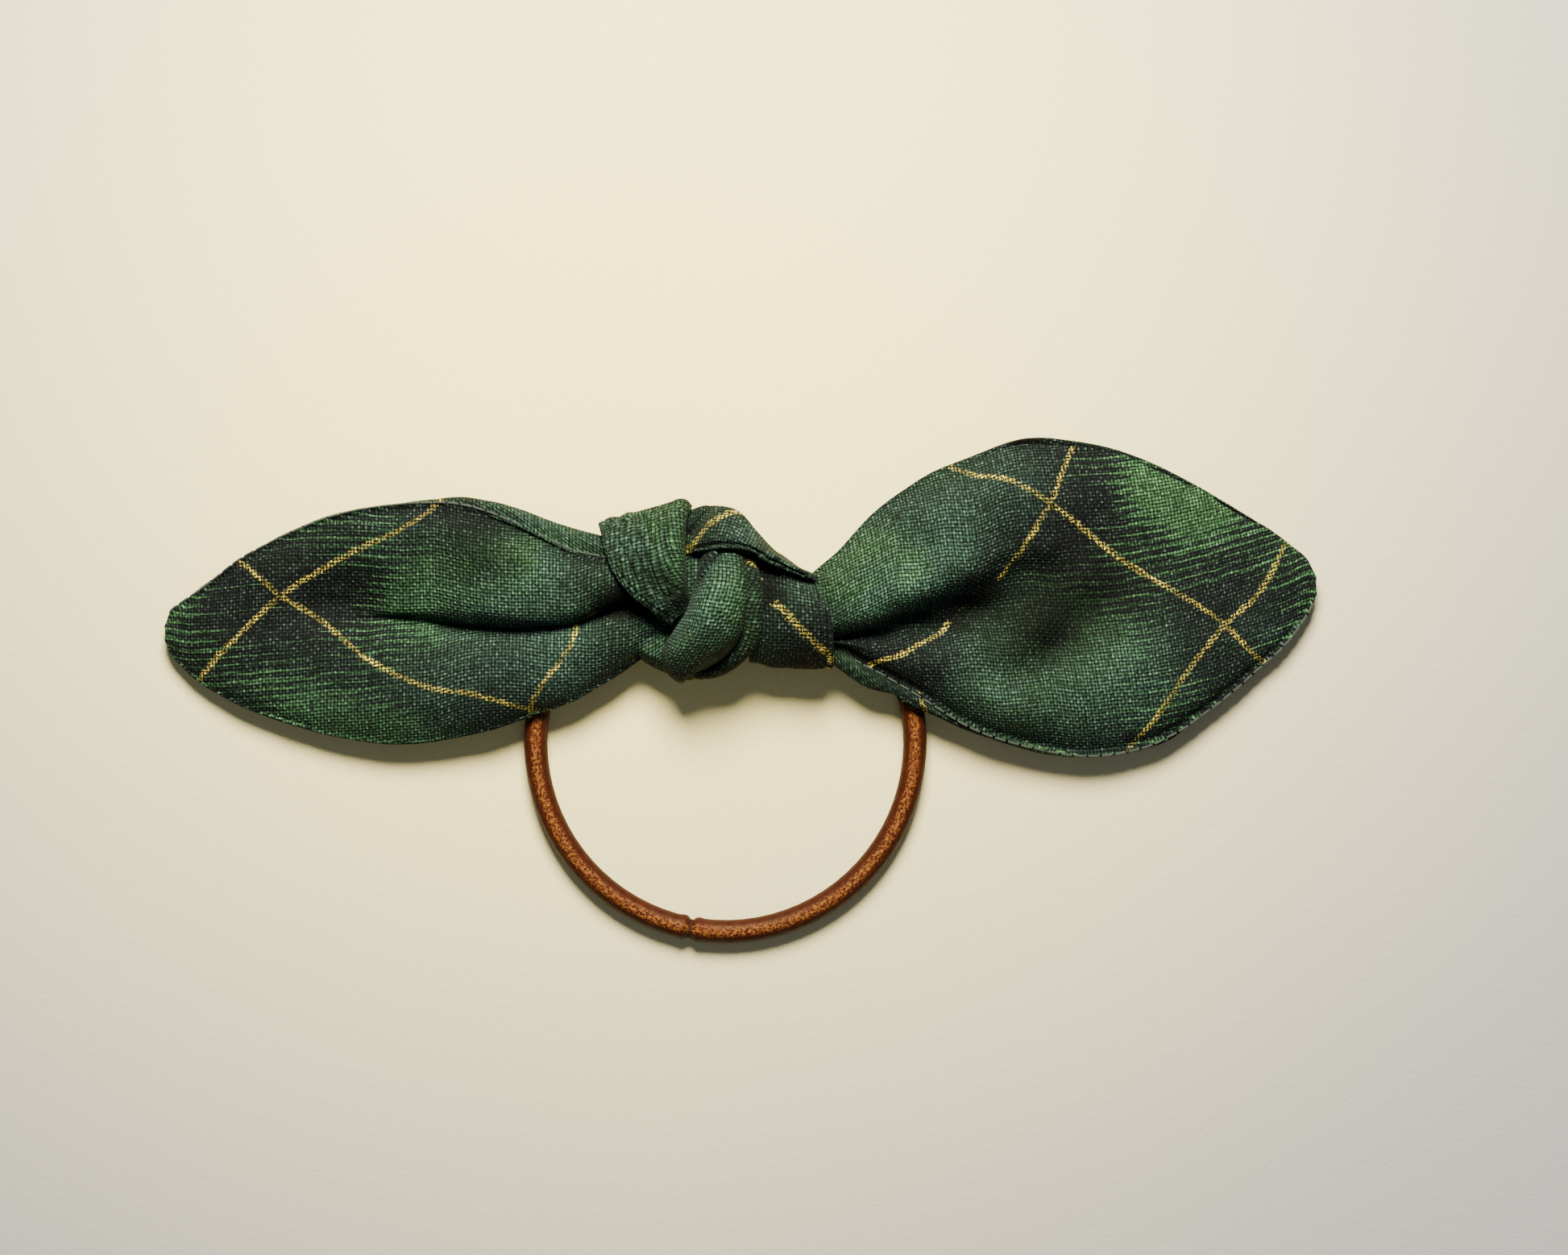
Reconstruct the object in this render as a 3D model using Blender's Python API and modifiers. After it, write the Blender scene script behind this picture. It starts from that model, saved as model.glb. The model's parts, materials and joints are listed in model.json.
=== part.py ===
"""Knotted hair bow: a sewn cotton strip with leaf-shaped ends, tied round an elastic hair tie.

The bow lies on its back. +Z points out of its face, +X to its right tail and +Y to its top.
The origin is on the flat underside of the knot. Lengths are in metres, angles in degrees.
"""

import math

import bpy
from mathutils import Vector

MM = 0.001

# Cloth
PLY = 0.45 * MM  # one cotton panel
ALLOWANCE = 0.6 * MM  # seam allowance turned in between the panels, two plies
ALLOWANCE_WIDTH = 4.5 * MM
BAND = 1.0 * MM  # the doubled strip where it is wrapped round the knot
GAP = 0.3 * MM  # between pieces that lie on each other
THREAD = 0.3 * MM  # diameter of the seam thread
PUFF = 0.7 * MM  # how far each panel stands off the middle of a tail

# Hair tie
CORD = 2.5 * MM  # diameter over the braided sleeve
SLEEVE_WALL = 0.4 * MM
CORE_CLEARANCE = 0.2 * MM
LOOP_RADIUS = 23.6 * MM  # of the cord's centreline
LOOP_FLAT = 4.4 * MM  # how far the loop is pulled flat where the knot grips it
LOOP_BLEND = 3.0 * MM  # rounds the change from the flat to the circle
BOND_ANGLE = 190.6  # where the two ends of the cord are glued, from the top of the loop
BOND_LENGTH = 0.7 * MM
BOND_CLEARANCE = 0.25 * MM  # to the cut ends of the sleeve and the core
BOND_LIP = 0.1 * MM  # how far the glued joint stands proud of the sleeve
LOOP_POINTS = 64
CORD_SIDES = 24

# Knot
KNOT_WIDTH = 28.3 * MM  # from the left fold's corner to the collar's edge
KNOT_HEIGHT = 21.4 * MM
KNOT_DEPTH = 14.0 * MM
KNOT_AXIS_Z = 6.0 * MM  # height of the knot's middle above the surface it lies on
LAYER = BAND + 0.5 * MM  # from one wrapped layer to the next
CHANNEL_Y = 1.6 * MM  # the cord's line through the knot
CHANNEL_Z = BAND + GAP + CORD / 2
CHANNEL_CLEARANCE = 0.25 * MM
CORE_HALF = 6.5 * MM  # half the length of the inner turn, along X
CHANNEL_LENGTH = 4 * CORE_HALF  # passes right through the inner turn
CORE_SIDES = 28  # points round the inner turn
CORE_ROWS = 8  # and along it
NECK_SIDES = 20
NECK_ROWS = 6
TURN_COLUMNS = 7  # points across a turn of the strip
FOLD_COLUMNS = 8
FOLD_ROWS = 12  # points along a turn
COLLAR_ROWS = 14
BACK_ROWS = 20

# Where the knot's inner turn and the necks beside it lie: (x as a share of KNOT_WIDTH, middle and half
# width in y as shares of KNOT_HEIGHT, height above the knot's middle as a share of KNOT_DEPTH)
KNOT_SECTIONS = [
    (-0.58, -0.110, 0.425, 0.20),
    (-0.37, 0.010, 0.360, 0.275),
    (-0.18, 0.045, 0.400, 0.345),
    (0.00, 0.015, 0.355, 0.375),
    (0.11, -0.050, 0.280, 0.36),
    (0.23, -0.110, 0.218, 0.305),
    (0.45, -0.180, 0.175, 0.215),
]
UNDERSIDE = 6.4 * MM  # depth of the inner turn below the knot's middle, before its flat cuts it off

# The strip's turns round the knot. Angles run from the top of the bow over its face.
# Turns that run round the knot: (angle, left end in x, right end in x), as shares of KNOT_WIDTH
LEFT_FOLD = [(-20, -0.51, -0.21), (30, -0.55, -0.21), (60, -0.51, -0.21), (90, -0.41, -0.21), (118, -0.29, -0.215)]
CENTRE_BAND = [(68, -0.12, 0.085), (90, -0.18, 0.10), (130, -0.23, 0.105), (170, -0.24, 0.10), (200, -0.22, 0.09)]
COLLAR = [(72, 0.13, 0.39), (100, 0.13, 0.42), (140, 0.13, 0.445), (185, 0.13, 0.45), (228, 0.13, 0.445)]
# A turn that runs along the knot: (x as a share of KNOT_WIDTH, first angle, last angle)
TOP_FOLD = [(-0.175, -10, 46), (-0.05, -12, 60), (0.07, -12, 60), (0.20, -8, 56), (0.31, 0, 46), (0.385, 4, 26)]
# The back band is the turn under the knot: (angle, left end in x, right end in x)
BACK_BAND = [(186, -0.185, 0.105), (270, -0.185, 0.105), (343, -0.185, 0.105)]

# Necks: the gathered cloth between the knot's middle and each tail
NECK_FLOOR = CHANNEL_Z + CORD / 2 + GAP  # the necks pass over the cord
NECK_SHARE = 0.95  # of the room inside the turns round them
NECK_ENDS = (-0.56, 0.46)  # left and right, as shares of KNOT_WIDTH
FLEX = 3.6 * MM  # the stretch of bare cloth that bends between a neck and its tail

# Tails
TAIL_WIDTH = 39.5 * MM  # across the widest part of a leaf
TAIL_SPAN = 143.5 * MM  # from tip to tip
TIP_OFFSET = 1.85 * MM  # the middle of that span, from the origin
TIP_LIFT = 0.15 * MM  # between the tip's underside and the surface
DROOP = 1.8  # how late a tail comes down to the surface, as an exponent
# Each tail's edges: (share of its length from the hinge, upper edge, lower edge), as shares of TAIL_WIDTH
LEFT_EDGES = [
    (0.00, 0.177, -0.325),
    (0.12, 0.248, -0.375),
    (0.27, 0.301, -0.435),
    (0.45, 0.276, -0.468),
    (0.62, 0.223, -0.435),
    (0.77, 0.142, -0.387),
    (0.92, 0.018, -0.273),
    (1.00, -0.080, -0.172),
]
RIGHT_EDGES = [
    (0.00, 0.157, -0.250),
    (0.12, 0.327, -0.347),
    (0.26, 0.433, -0.440),
    (0.40, 0.494, -0.494),
    (0.53, 0.468, -0.504),
    (0.67, 0.397, -0.456),
    (0.80, 0.289, -0.324),
    (0.94, 0.162, -0.127),
    (1.00, 0.076, -0.030),
]
# The crease in each tail: (place across at the hinge, place across where it ends), from -1 to 1
LEFT_CREASE = (0.19, 0.12)
RIGHT_CREASE = (-0.45, 0.23)
CREASE_DEPTH = 0.9 * MM
CREASE_WIDTH = 0.32  # as a share of the tail's half width
CREASE_REACH = 0.6  # how far it runs, as a share of the tail's length
TAIL_ROWS = 18
TAIL_COLUMNS = 12

LEFT_HINGE_X = NECK_ENDS[0] * KNOT_WIDTH - FLEX / 2
RIGHT_HINGE_X = NECK_ENDS[1] * KNOT_WIDTH + FLEX / 2


# ---- helpers ----


def clear_scene():
    for obj in list(bpy.data.objects):
        bpy.data.objects.remove(obj)


def make_collection(name):
    collection = bpy.data.collections.new(name)
    bpy.context.scene.collection.children.link(collection)
    return collection


def make_material(name, colour, roughness):
    material = bpy.data.materials.new(name)
    material.use_nodes = True
    shader = material.node_tree.nodes["Principled BSDF"]
    shader.inputs["Base Color"].default_value = (*colour, 1.0)
    shader.inputs["Roughness"].default_value = roughness
    shader.inputs["Metallic"].default_value = 0.0
    return material


def add_object(name, data, material, collection):
    obj = bpy.data.objects.new(name, data)
    data.materials.append(material)
    collection.objects.link(obj)
    return obj


def curve_through(stations, at):
    """The values of a smooth curve through rows of (place, value, value...) at a place."""
    last = len(stations) - 1
    i = 0
    while i < last - 1 and at > stations[i + 1][0]:
        i += 1
    before, start, end, after = (stations[min(max(k, 0), last)] for k in (i - 1, i, i + 1, i + 2))
    t = (at - start[0]) / (end[0] - start[0])
    t = min(max(t, 0.0), 1.0)
    values = []
    for a, b, c, d in zip(before[1:], start[1:], end[1:], after[1:]):
        values.append(
            0.5 * (2 * b + (c - a) * t + (2 * a - 5 * b + 4 * c - d) * t**2 + (3 * b - a - 3 * c + d) * t**3)
        )
    return values


def spread(first, last, count):
    """Evenly spaced values from first to last."""
    return [first + (last - first) * i / (count - 1) for i in range(count)]


def sheet(name, rows, thickness, material, collection):
    """A sheet through rows of points on its outer face, thickened inwards."""
    width = len(rows[0])
    points = [tuple(p) for row in rows for p in row]
    faces = []
    for i in range(len(rows) - 1):
        for j in range(width - 1):
            a = i * width + j
            faces.append((a, a + 1, a + 1 + width, a + width))
    mesh = bpy.data.meshes.new(name)
    mesh.from_pydata(points, [], faces)
    mesh.shade_smooth()
    obj = add_object(name, mesh, material, collection)
    solidify = obj.modifiers.new("thickness", "SOLIDIFY")
    solidify.thickness = thickness
    solidify.offset = -1.0
    solidify.use_even_offset = True
    return obj


def loft(name, sections, material, collection):
    """A closed solid through rings of points, each ring in a plane of its own."""
    size = len(sections[0])
    points = [tuple(p) for ring in sections for p in ring]
    faces = []
    for i in range(len(sections) - 1):
        for j in range(size):
            a = i * size + j
            b = i * size + (j + 1) % size
            faces.append((a, b, b + size, a + size))
    faces.append(tuple(reversed(range(size))))
    faces.append(tuple((len(sections) - 1) * size + j for j in range(size)))
    mesh = bpy.data.meshes.new(name)
    mesh.from_pydata(points, [], faces)
    mesh.shade_smooth()
    mesh.set_sharp_from_angle(angle=math.radians(50))
    return add_object(name, mesh, material, collection)


def wire(name, points, radius, sides_resolution, capped, material, collection):
    """A round tube or rod along a row of points."""
    curve = bpy.data.curves.new(name, "CURVE")
    curve.dimensions = "3D"
    curve.bevel_depth = radius
    curve.bevel_resolution = sides_resolution
    curve.use_fill_caps = capped
    spline = curve.splines.new("POLY")
    spline.points.add(len(points) - 1)
    for spot, p in zip(spline.points, points):
        spot.co = (*p, 1.0)
    return add_object(name, curve, material, collection)


# ---- hair tie ----


def loop_point(degrees):
    """A point of the cord's centreline. 0 is the middle of the stretch that the knot grips."""
    angle = math.radians(degrees)
    top = LOOP_RADIUS - LOOP_FLAT
    up = LOOP_RADIUS * math.cos(angle)
    mix = min(max(0.5 + 0.5 * (up - top) / LOOP_BLEND, 0.0), 1.0)
    up = up * (1 - mix) + top * mix - LOOP_BLEND * mix * (1 - mix)
    down = top - up  # along the loop's own plane, from the knot
    reach = 2 * LOOP_RADIUS - LOOP_FLAT
    tilt = math.asin((CHANNEL_Z - CORD / 2 - BOND_LIP) / reach)
    return Vector(
        (
            LOOP_RADIUS * math.sin(angle),
            CHANNEL_Y - down * math.cos(tilt),
            CHANNEL_Z - down * math.sin(tilt),
        )
    )


def make_hair_tie(brown, rubber, glue, collection):
    half_gap = math.degrees((BOND_LENGTH / 2 + BOND_CLEARANCE) / LOOP_RADIUS)
    angles = spread(BOND_ANGLE + half_gap, BOND_ANGLE + 360 - half_gap, LOOP_POINTS)
    line = [loop_point(a) for a in angles]
    sleeve = wire("elastic_sleeve", line, CORD / 2, 3, False, brown, collection)
    wall = sleeve.modifiers.new("wall", "SOLIDIFY")
    wall.thickness = SLEEVE_WALL
    wall.offset = -1.0
    wall.use_even_offset = True
    core_radius = CORD / 2 - SLEEVE_WALL - CORE_CLEARANCE
    wire("elastic_core", line, core_radius, 2, True, rubber, collection)
    along = loop_point(BOND_ANGLE + half_gap) - loop_point(BOND_ANGLE - half_gap)
    bpy.ops.mesh.primitive_cylinder_add(
        vertices=CORD_SIDES,
        radius=CORD / 2 + BOND_LIP,
        depth=BOND_LENGTH,
        location=loop_point(BOND_ANGLE),
        rotation=along.to_track_quat("Z", "Y").to_euler(),
    )
    bond = bpy.context.object
    bond.name = "elastic_bond"
    bond.data.materials.append(glue)
    for other in bond.users_collection:
        other.objects.unlink(bond)
    collection.objects.link(bond)
    bevel = bond.modifiers.new("round", "BEVEL")
    bevel.width = BOND_LENGTH / 5
    bevel.segments = 2


# ---- knot ----


def knot_point(x, degrees, layer, share=1.0, floor=0.0):
    """A point on the outer face of one wrapped layer. Layer 0 is the inner turn."""
    middle, half, above = curve_through(KNOT_SECTIONS, x / KNOT_WIDTH)
    angle = math.radians(degrees)
    depth = above * KNOT_DEPTH if math.sin(angle) > 0 else UNDERSIDE
    y = middle * KNOT_HEIGHT + (half * KNOT_HEIGHT * share + layer * LAYER) * math.cos(angle)
    z = KNOT_AXIS_Z + (depth * share + layer * LAYER) * math.sin(angle)
    return Vector((x, y, max(z, floor)))


def turn_round(name, stations, layer, count, material, collection):
    """A turn of the strip that runs round the knot."""
    rows = []
    for angle in spread(stations[0][0], stations[-1][0], count):
        left, right = curve_through(stations, angle)
        rows.append([knot_point(x * KNOT_WIDTH, angle, layer) for x in spread(right, left, TURN_COLUMNS)])
    return sheet(name, rows, BAND, material, collection)


def turn_along(name, stations, layer, material, collection):
    """A turn of the strip that runs along the knot."""
    rows = []
    for x in spread(stations[0][0], stations[-1][0], FOLD_ROWS):
        first, last = curve_through(stations, x)
        rows.append([knot_point(x * KNOT_WIDTH, angle, layer) for angle in spread(first, last, FOLD_COLUMNS)])
    return sheet(name, rows, BAND, material, collection)


def make_inner_turn(cloth, collection, cutters):
    sides = CORE_SIDES
    rings = []
    for x in spread(-CORE_HALF, CORE_HALF, CORE_ROWS):
        ring_angles = spread(0, 360 * (sides - 1) / sides, sides)
        rings.append([knot_point(x, a, 0, 1.0, BAND + GAP) for a in ring_angles])
    inner = loft("knot_inner_turn", rings, cloth, collection)
    bpy.ops.mesh.primitive_cylinder_add(
        vertices=CORD_SIDES,
        radius=CORD / 2 + CHANNEL_CLEARANCE,
        depth=CHANNEL_LENGTH,
        location=(0, CHANNEL_Y, CHANNEL_Z),
        rotation=(0, math.pi / 2, 0),
    )
    cutter = bpy.context.object
    cutter.name = "cord_channel"
    cutter.hide_render = True
    cutter.display_type = "WIRE"
    for other in cutter.users_collection:
        other.objects.unlink(cutter)
    cutters.objects.link(cutter)
    cut = inner.modifiers.new("channel", "BOOLEAN")
    cut.operation = "DIFFERENCE"
    cut.object = cutter


def neck_middle(x):
    """The height of a neck's middle, and half its thickness."""
    top = knot_point(x, 90, 0, NECK_SHARE).z
    return (top + NECK_FLOOR) / 2, (top - NECK_FLOOR) / 2


def make_neck(name, inner_x, outer_x, cloth, collection):
    """The gathered cloth between the inner turn and a tail's hinge."""
    sides = NECK_SIDES
    rings = []
    for x in spread(min(inner_x, outer_x), max(inner_x, outer_x), NECK_ROWS):
        middle, half = neck_middle(x)
        ring = []
        for a in spread(0, 360 * (sides - 1) / sides, sides):
            z = middle + half * math.sin(math.radians(a))
            ring.append(Vector((x, knot_point(x, a, 0, NECK_SHARE).y, z)))
        rings.append(ring)
    loft(name, rings, cloth, collection)


def make_knot(cloth, collection, cutters):
    make_inner_turn(cloth, collection, cutters)
    turn_round("knot_back_band", BACK_BAND, 1, BACK_ROWS, cloth, collection)
    turn_round("knot_left_fold", LEFT_FOLD, 1, FOLD_ROWS, cloth, collection)
    turn_round("knot_right_collar", COLLAR, 1, COLLAR_ROWS, cloth, collection)
    turn_round("knot_centre_band", CENTRE_BAND, 2, FOLD_ROWS, cloth, collection)
    turn_along("knot_top_fold", TOP_FOLD, 2, cloth, collection)
    make_neck("left_neck", -CORE_HALF - GAP, NECK_ENDS[0] * KNOT_WIDTH, cloth, collection)
    make_neck("right_neck", CORE_HALF + GAP, NECK_ENDS[1] * KNOT_WIDTH, cloth, collection)


# ---- tails ----


class Tail:
    """One leaf-shaped end of the strip, from its hinge to its tip."""

    def __init__(self, side, hinge_x, tip_x, edges, crease):
        self.side = side
        self.hinge_x = hinge_x
        self.tip_x = tip_x
        self.hinge_z = neck_middle(hinge_x)[0]
        self.edges = edges
        self.crease = crease
        self.start = FLEX / 2 / abs(tip_x - hinge_x)  # where the cloth stops bending

    def half_width(self, along):
        upper, lower = curve_through(self.edges, along)
        return (upper - lower) / 2 * TAIL_WIDTH

    def point(self, along, across, off=0.0):
        """A point at shares along and across the tail, off its middle surface by a height."""
        upper, lower = curve_through(self.edges, along)
        y = (lower + (upper - lower) * (across + 1) / 2) * TAIL_WIDTH
        edge_half = ALLOWANCE / 2 + GAP + PLY
        tip_z = edge_half + TIP_LIFT
        z = self.hinge_z - (self.hinge_z - tip_z) * along**DROOP
        here = self.crease[0] + (self.crease[1] - self.crease[0]) * min(along / CREASE_REACH, 1.0)
        fade = max(1 - along / CREASE_REACH, 0.0)
        z -= CREASE_DEPTH * fade * math.exp(-(((across - here) / CREASE_WIDTH) ** 2))
        return Vector((self.hinge_x + (self.tip_x - self.hinge_x) * along, y, z + off))

    def stand_off(self, along, across):
        """Half the tail's thickness at a place, over both panels."""
        puff = PUFF * (1 - across**2) * math.sin(math.pi * min(along, 1.0))
        return ALLOWANCE / 2 + GAP + PLY + puff

    def rim(self, along_rim, inset):
        """A point on the middle surface, at a share of the way round the tail's edge."""
        side_share = 0.46  # of the rim, for each long edge
        if along_rim < side_share:
            along, across = along_rim / side_share, 1.0
        elif along_rim > 1 - side_share:
            along, across = (1 - along_rim) / side_share, -1.0
        else:
            along, across = 1.0, 1 - 2 * (along_rim - side_share) / (1 - 2 * side_share)
        along = self.start + along * (1 - self.start)
        along = min(along, 1 - inset / abs(self.tip_x - self.hinge_x))
        across *= max(1 - inset / self.half_width(along), 0.05)
        return self.point(along, across)


def make_panel(tail, name, face, cloth, collection):
    """The front panel (face 1) or the back panel (face -1) of a tail."""
    rows = []
    for along in spread(tail.start, 1.0, TAIL_ROWS):
        row = []
        for across in spread(-1.0, 1.0, TAIL_COLUMNS):
            row.append(tail.point(along, across, face * tail.stand_off(along, across)))
        rows.append(row)
    if tail.side * face > 0:
        rows.reverse()
    sheet(name, rows, PLY, cloth, collection)


def make_seam(tail, name, cloth, thread, collection):
    """The seam allowance turned in along a tail's edge, and the thread outside it."""
    thread_inset = THREAD
    inner_inset = thread_inset + THREAD / 2 + GAP
    rows = []
    for inset in spread(inner_inset + ALLOWANCE_WIDTH, inner_inset, 3):
        rows.append([tail.rim(q, inset) + Vector((0, 0, ALLOWANCE / 2)) for q in spread(0.0, 1.0, 41)])
    if tail.side < 0:
        rows.reverse()
    sheet(name + "_seam_allowance", rows, ALLOWANCE, cloth, collection)
    line = [tail.rim(q, thread_inset) for q in spread(0.0, 1.0, 57)]
    wire(name + "_seam_thread", line, THREAD / 2, 1, True, thread, collection)


def make_tail(tail, name, cloth, thread, collection):
    make_panel(tail, name + "_front_panel", 1, cloth, collection)
    make_panel(tail, name + "_back_panel", -1, cloth, collection)
    make_seam(tail, name, cloth, thread, collection)


def build():
    clear_scene()
    bow = make_collection("hair_bow")
    cutters = make_collection("cutters")
    cloth = make_material("plaid_cotton", (0.05, 0.11, 0.06), 0.85)
    thread = make_material("green_thread", (0.03, 0.06, 0.04), 0.7)
    brown = make_material("braided_sleeve", (0.17, 0.05, 0.015), 0.4)
    rubber = make_material("latex_core", (0.55, 0.45, 0.30), 0.6)
    glue = make_material("glued_joint", (0.07, 0.02, 0.01), 0.5)
    make_hair_tie(brown, rubber, glue, bow)
    make_knot(cloth, bow, cutters)
    left = Tail(-1, LEFT_HINGE_X, TIP_OFFSET - TAIL_SPAN / 2, LEFT_EDGES, LEFT_CREASE)
    right = Tail(1, RIGHT_HINGE_X, TIP_OFFSET + TAIL_SPAN / 2, RIGHT_EDGES, RIGHT_CREASE)
    make_tail(left, "left_tail", cloth, thread, bow)
    make_tail(right, "right_tail", cloth, thread, bow)


build()
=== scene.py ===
import json
import math

import bpy
import numpy as np
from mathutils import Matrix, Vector, noise


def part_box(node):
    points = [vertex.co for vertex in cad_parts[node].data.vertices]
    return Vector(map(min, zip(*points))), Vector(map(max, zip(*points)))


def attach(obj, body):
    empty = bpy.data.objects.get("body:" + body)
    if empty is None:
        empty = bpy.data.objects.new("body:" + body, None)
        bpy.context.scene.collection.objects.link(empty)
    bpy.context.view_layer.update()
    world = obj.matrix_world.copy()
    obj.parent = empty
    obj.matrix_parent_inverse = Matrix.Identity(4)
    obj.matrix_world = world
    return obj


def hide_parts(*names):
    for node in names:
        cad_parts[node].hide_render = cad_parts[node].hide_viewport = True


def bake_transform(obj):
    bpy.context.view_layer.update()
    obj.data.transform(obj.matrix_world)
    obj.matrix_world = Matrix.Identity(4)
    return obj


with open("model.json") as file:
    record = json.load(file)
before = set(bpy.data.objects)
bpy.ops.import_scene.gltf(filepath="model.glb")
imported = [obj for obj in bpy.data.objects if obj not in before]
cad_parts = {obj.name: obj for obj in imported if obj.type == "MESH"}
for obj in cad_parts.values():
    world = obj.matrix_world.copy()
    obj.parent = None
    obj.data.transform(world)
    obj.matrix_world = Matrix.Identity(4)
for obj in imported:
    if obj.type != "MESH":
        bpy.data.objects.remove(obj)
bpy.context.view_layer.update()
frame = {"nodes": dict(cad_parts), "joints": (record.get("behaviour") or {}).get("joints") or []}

mm = 0.001

# A printed cotton strip tied in a knot round a braided hair tie, lying on pale cloth.
# Shapes are drawn in mm, with x from the left tail to the right, y up the bow and z off the table.


def joint(name):
    return next(j for j in frame["joints"] if j["name"] == name)


# Small tools for smooth surfaces. A grid holds points along the cloth in rows, across it in columns.


def through(knots, count):
    # a smooth curve through rows of points, evenly spaced by the rows' mean distance
    knots = np.asarray(knots, float)
    steps = np.linalg.norm(np.diff(knots, axis=0), axis=-1)
    steps = steps.reshape(len(knots) - 1, -1).mean(axis=1) + 1e-9
    places = np.concatenate([[0], np.cumsum(steps)])
    slopes = np.diff(knots, axis=0) / steps.reshape(-1, *[1] * (knots.ndim - 1))
    tangents = np.empty_like(knots)
    tangents[0] = slopes[0]
    tangents[-1] = slopes[-1]
    for i in range(1, len(knots) - 1):
        before = steps[i - 1]
        after = steps[i]
        tangents[i] = (slopes[i - 1] * after + slopes[i] * before) / (before + after)
    at = np.linspace(0, places[-1], count)
    i = np.clip(np.searchsorted(places, at, side="right") - 1, 0, len(knots) - 2)
    shape = (-1, *[1] * (knots.ndim - 1))
    h = steps[i].reshape(shape)
    t = ((at - places[i]) / steps[i]).reshape(shape)
    return (
        (2 * t**3 - 3 * t**2 + 1) * knots[i]
        + (t**3 - 2 * t**2 + t) * h * tangents[i]
        + (3 * t**2 - 2 * t**3) * knots[i + 1]
        + (t**3 - t**2) * h * tangents[i + 1]
    )


def loft(sections, along, across):
    # a grid of points through sections, each a row of (x, y, z)
    rows = np.stack([through(section, across) for section in sections])
    return through(rows, along)


def normalsOf(grid):
    du = np.gradient(grid, axis=0)
    dv = np.gradient(grid, axis=1)
    n = np.cross(du, dv)
    return n / (np.linalg.norm(n, axis=-1, keepdims=True) + 1e-12)


def lengthsAlong(line):
    # how far each point lies from the start, in mm
    return np.concatenate([[0], np.cumsum(np.linalg.norm(np.diff(line, axis=0), axis=1))])


def clothLengths(grid):
    # how far each point of the grid lies along the cloth, and across it from its middle, in mm
    steps = np.linalg.norm(np.diff(grid, axis=0), axis=-1).mean(axis=1)
    along = np.concatenate([[0], np.cumsum(steps)])
    steps = np.linalg.norm(np.diff(grid, axis=1), axis=-1)
    across = np.concatenate([np.zeros((len(grid), 1)), np.cumsum(steps, axis=1)], axis=1)
    across -= across[:, -1:] / 2
    return np.repeat(along[:, None], grid.shape[1], axis=1), across


# the finest puckers and the ones beside the edges, in mm
puckers = {
    "fineLong": 3.1,
    "fineWide": 2.3,
    "fineSeed": 7.3,  # added to the seed of the piece
    "edgeLong": 2.6,
    "edgeSeed": 3.1,
    "edgePower": 6,  # the higher, the closer to the edges
}


def wrinkled(grid, u, v, settings, seed):
    # soft folds that run along the cloth, with finer ones over them and puckers beside the edges
    n = normalsOf(grid)
    height = np.zeros(grid.shape[:2])
    edge = np.linspace(-1, 1, grid.shape[1]) ** puckers["edgePower"]
    fineSeed = seed + puckers["fineSeed"]
    edgeSeed = seed + puckers["edgeSeed"]
    for i in range(grid.shape[0]):
        for j in range(grid.shape[1]):
            a = u[i, j]
            b = v[i, j]
            soft = noise.noise(Vector((a / settings["long"], b / settings["wide"], seed)))
            fine = noise.noise(Vector((a / puckers["fineLong"], b / puckers["fineWide"], fineSeed)))
            pucker = noise.noise(Vector((a / puckers["edgeLong"], edgeSeed, 0.0)))
            height[i, j] = (
                settings["soft"] * soft
                + settings["fine"] * fine
                + settings["pucker"] * edge[j] * pucker
            )
    return grid + n * height[..., None]


def spotOf(grid, u, v, x, y):
    # the place on the cloth, along and across, of the uppermost point seen from above at (x, y)
    forHeight = 0.02  # mm of distance that a mm of height makes up for
    distance = np.hypot(grid[..., 0] - x, grid[..., 1] - y) - forHeight * grid[..., 2]
    k = np.unravel_index(np.argmin(distance), distance.shape)
    return u[k], v[k]


def turnedPlaid(grid, u, v, anchors):
    # turns and scales the plaid so that it has the given coordinates at two places of the cloth
    places = [complex(*spotOf(grid, u, v, x, y)) for x, y, p, q in anchors]
    values = [complex(p, q) for x, y, p, q in anchors]
    turn = (values[1] - values[0]) / (places[1] - places[0])
    placed = (u + 1j * v - places[0]) * turn + values[0]
    return placed.real, placed.imag


def bentPlaid(grid, u, v, anchors):
    # bends the plaid as gathered cloth does, to the given coordinates at every listed place
    places = np.array([spotOf(grid, u, v, x, y) for x, y, p, q in anchors])
    values = np.array([(p, q) for x, y, p, q in anchors], float)
    looseness = 2.0  # the higher, the smoother, and the less closely it keeps to the places

    def pull(points):
        distance = np.linalg.norm(points[:, None] - places[None], axis=-1) + 1e-6
        return distance**2 * np.log(distance)

    flat = np.column_stack([np.ones(len(places)), places])
    kept = pull(places) + looseness * np.eye(len(places))
    system = np.block([[kept, flat], [flat.T, np.zeros((3, 3))]])
    weights = np.linalg.solve(system, np.vstack([values, np.zeros((3, 2))]))
    points = np.stack([u, v], axis=-1).reshape(-1, 2)
    sloped = np.column_stack([np.ones(len(points)), points]) @ weights[-3:]
    placed = (pull(points) @ weights[:-3] + sloped).reshape(*grid.shape[:2], 2)
    return placed[..., 0], placed[..., 1]


def lineSpacing(grid, p):
    # mm of cloth from one gold line to the next, at each point
    closest = 12
    farthest = 60
    gi = np.gradient(grid, axis=0)
    gj = np.gradient(grid, axis=1)
    pi = np.gradient(p, axis=0)
    pj = np.gradient(p, axis=1)
    a = (gi * gi).sum(-1)
    b = (gi * gj).sum(-1)
    c = (gj * gj).sum(-1)
    slope = (c * pi**2 - 2 * b * pi * pj + a * pj**2) / (a * c - b * b + 1e-9)
    return np.clip(1 / np.sqrt(slope + 1e-9), closest, farthest)


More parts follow.
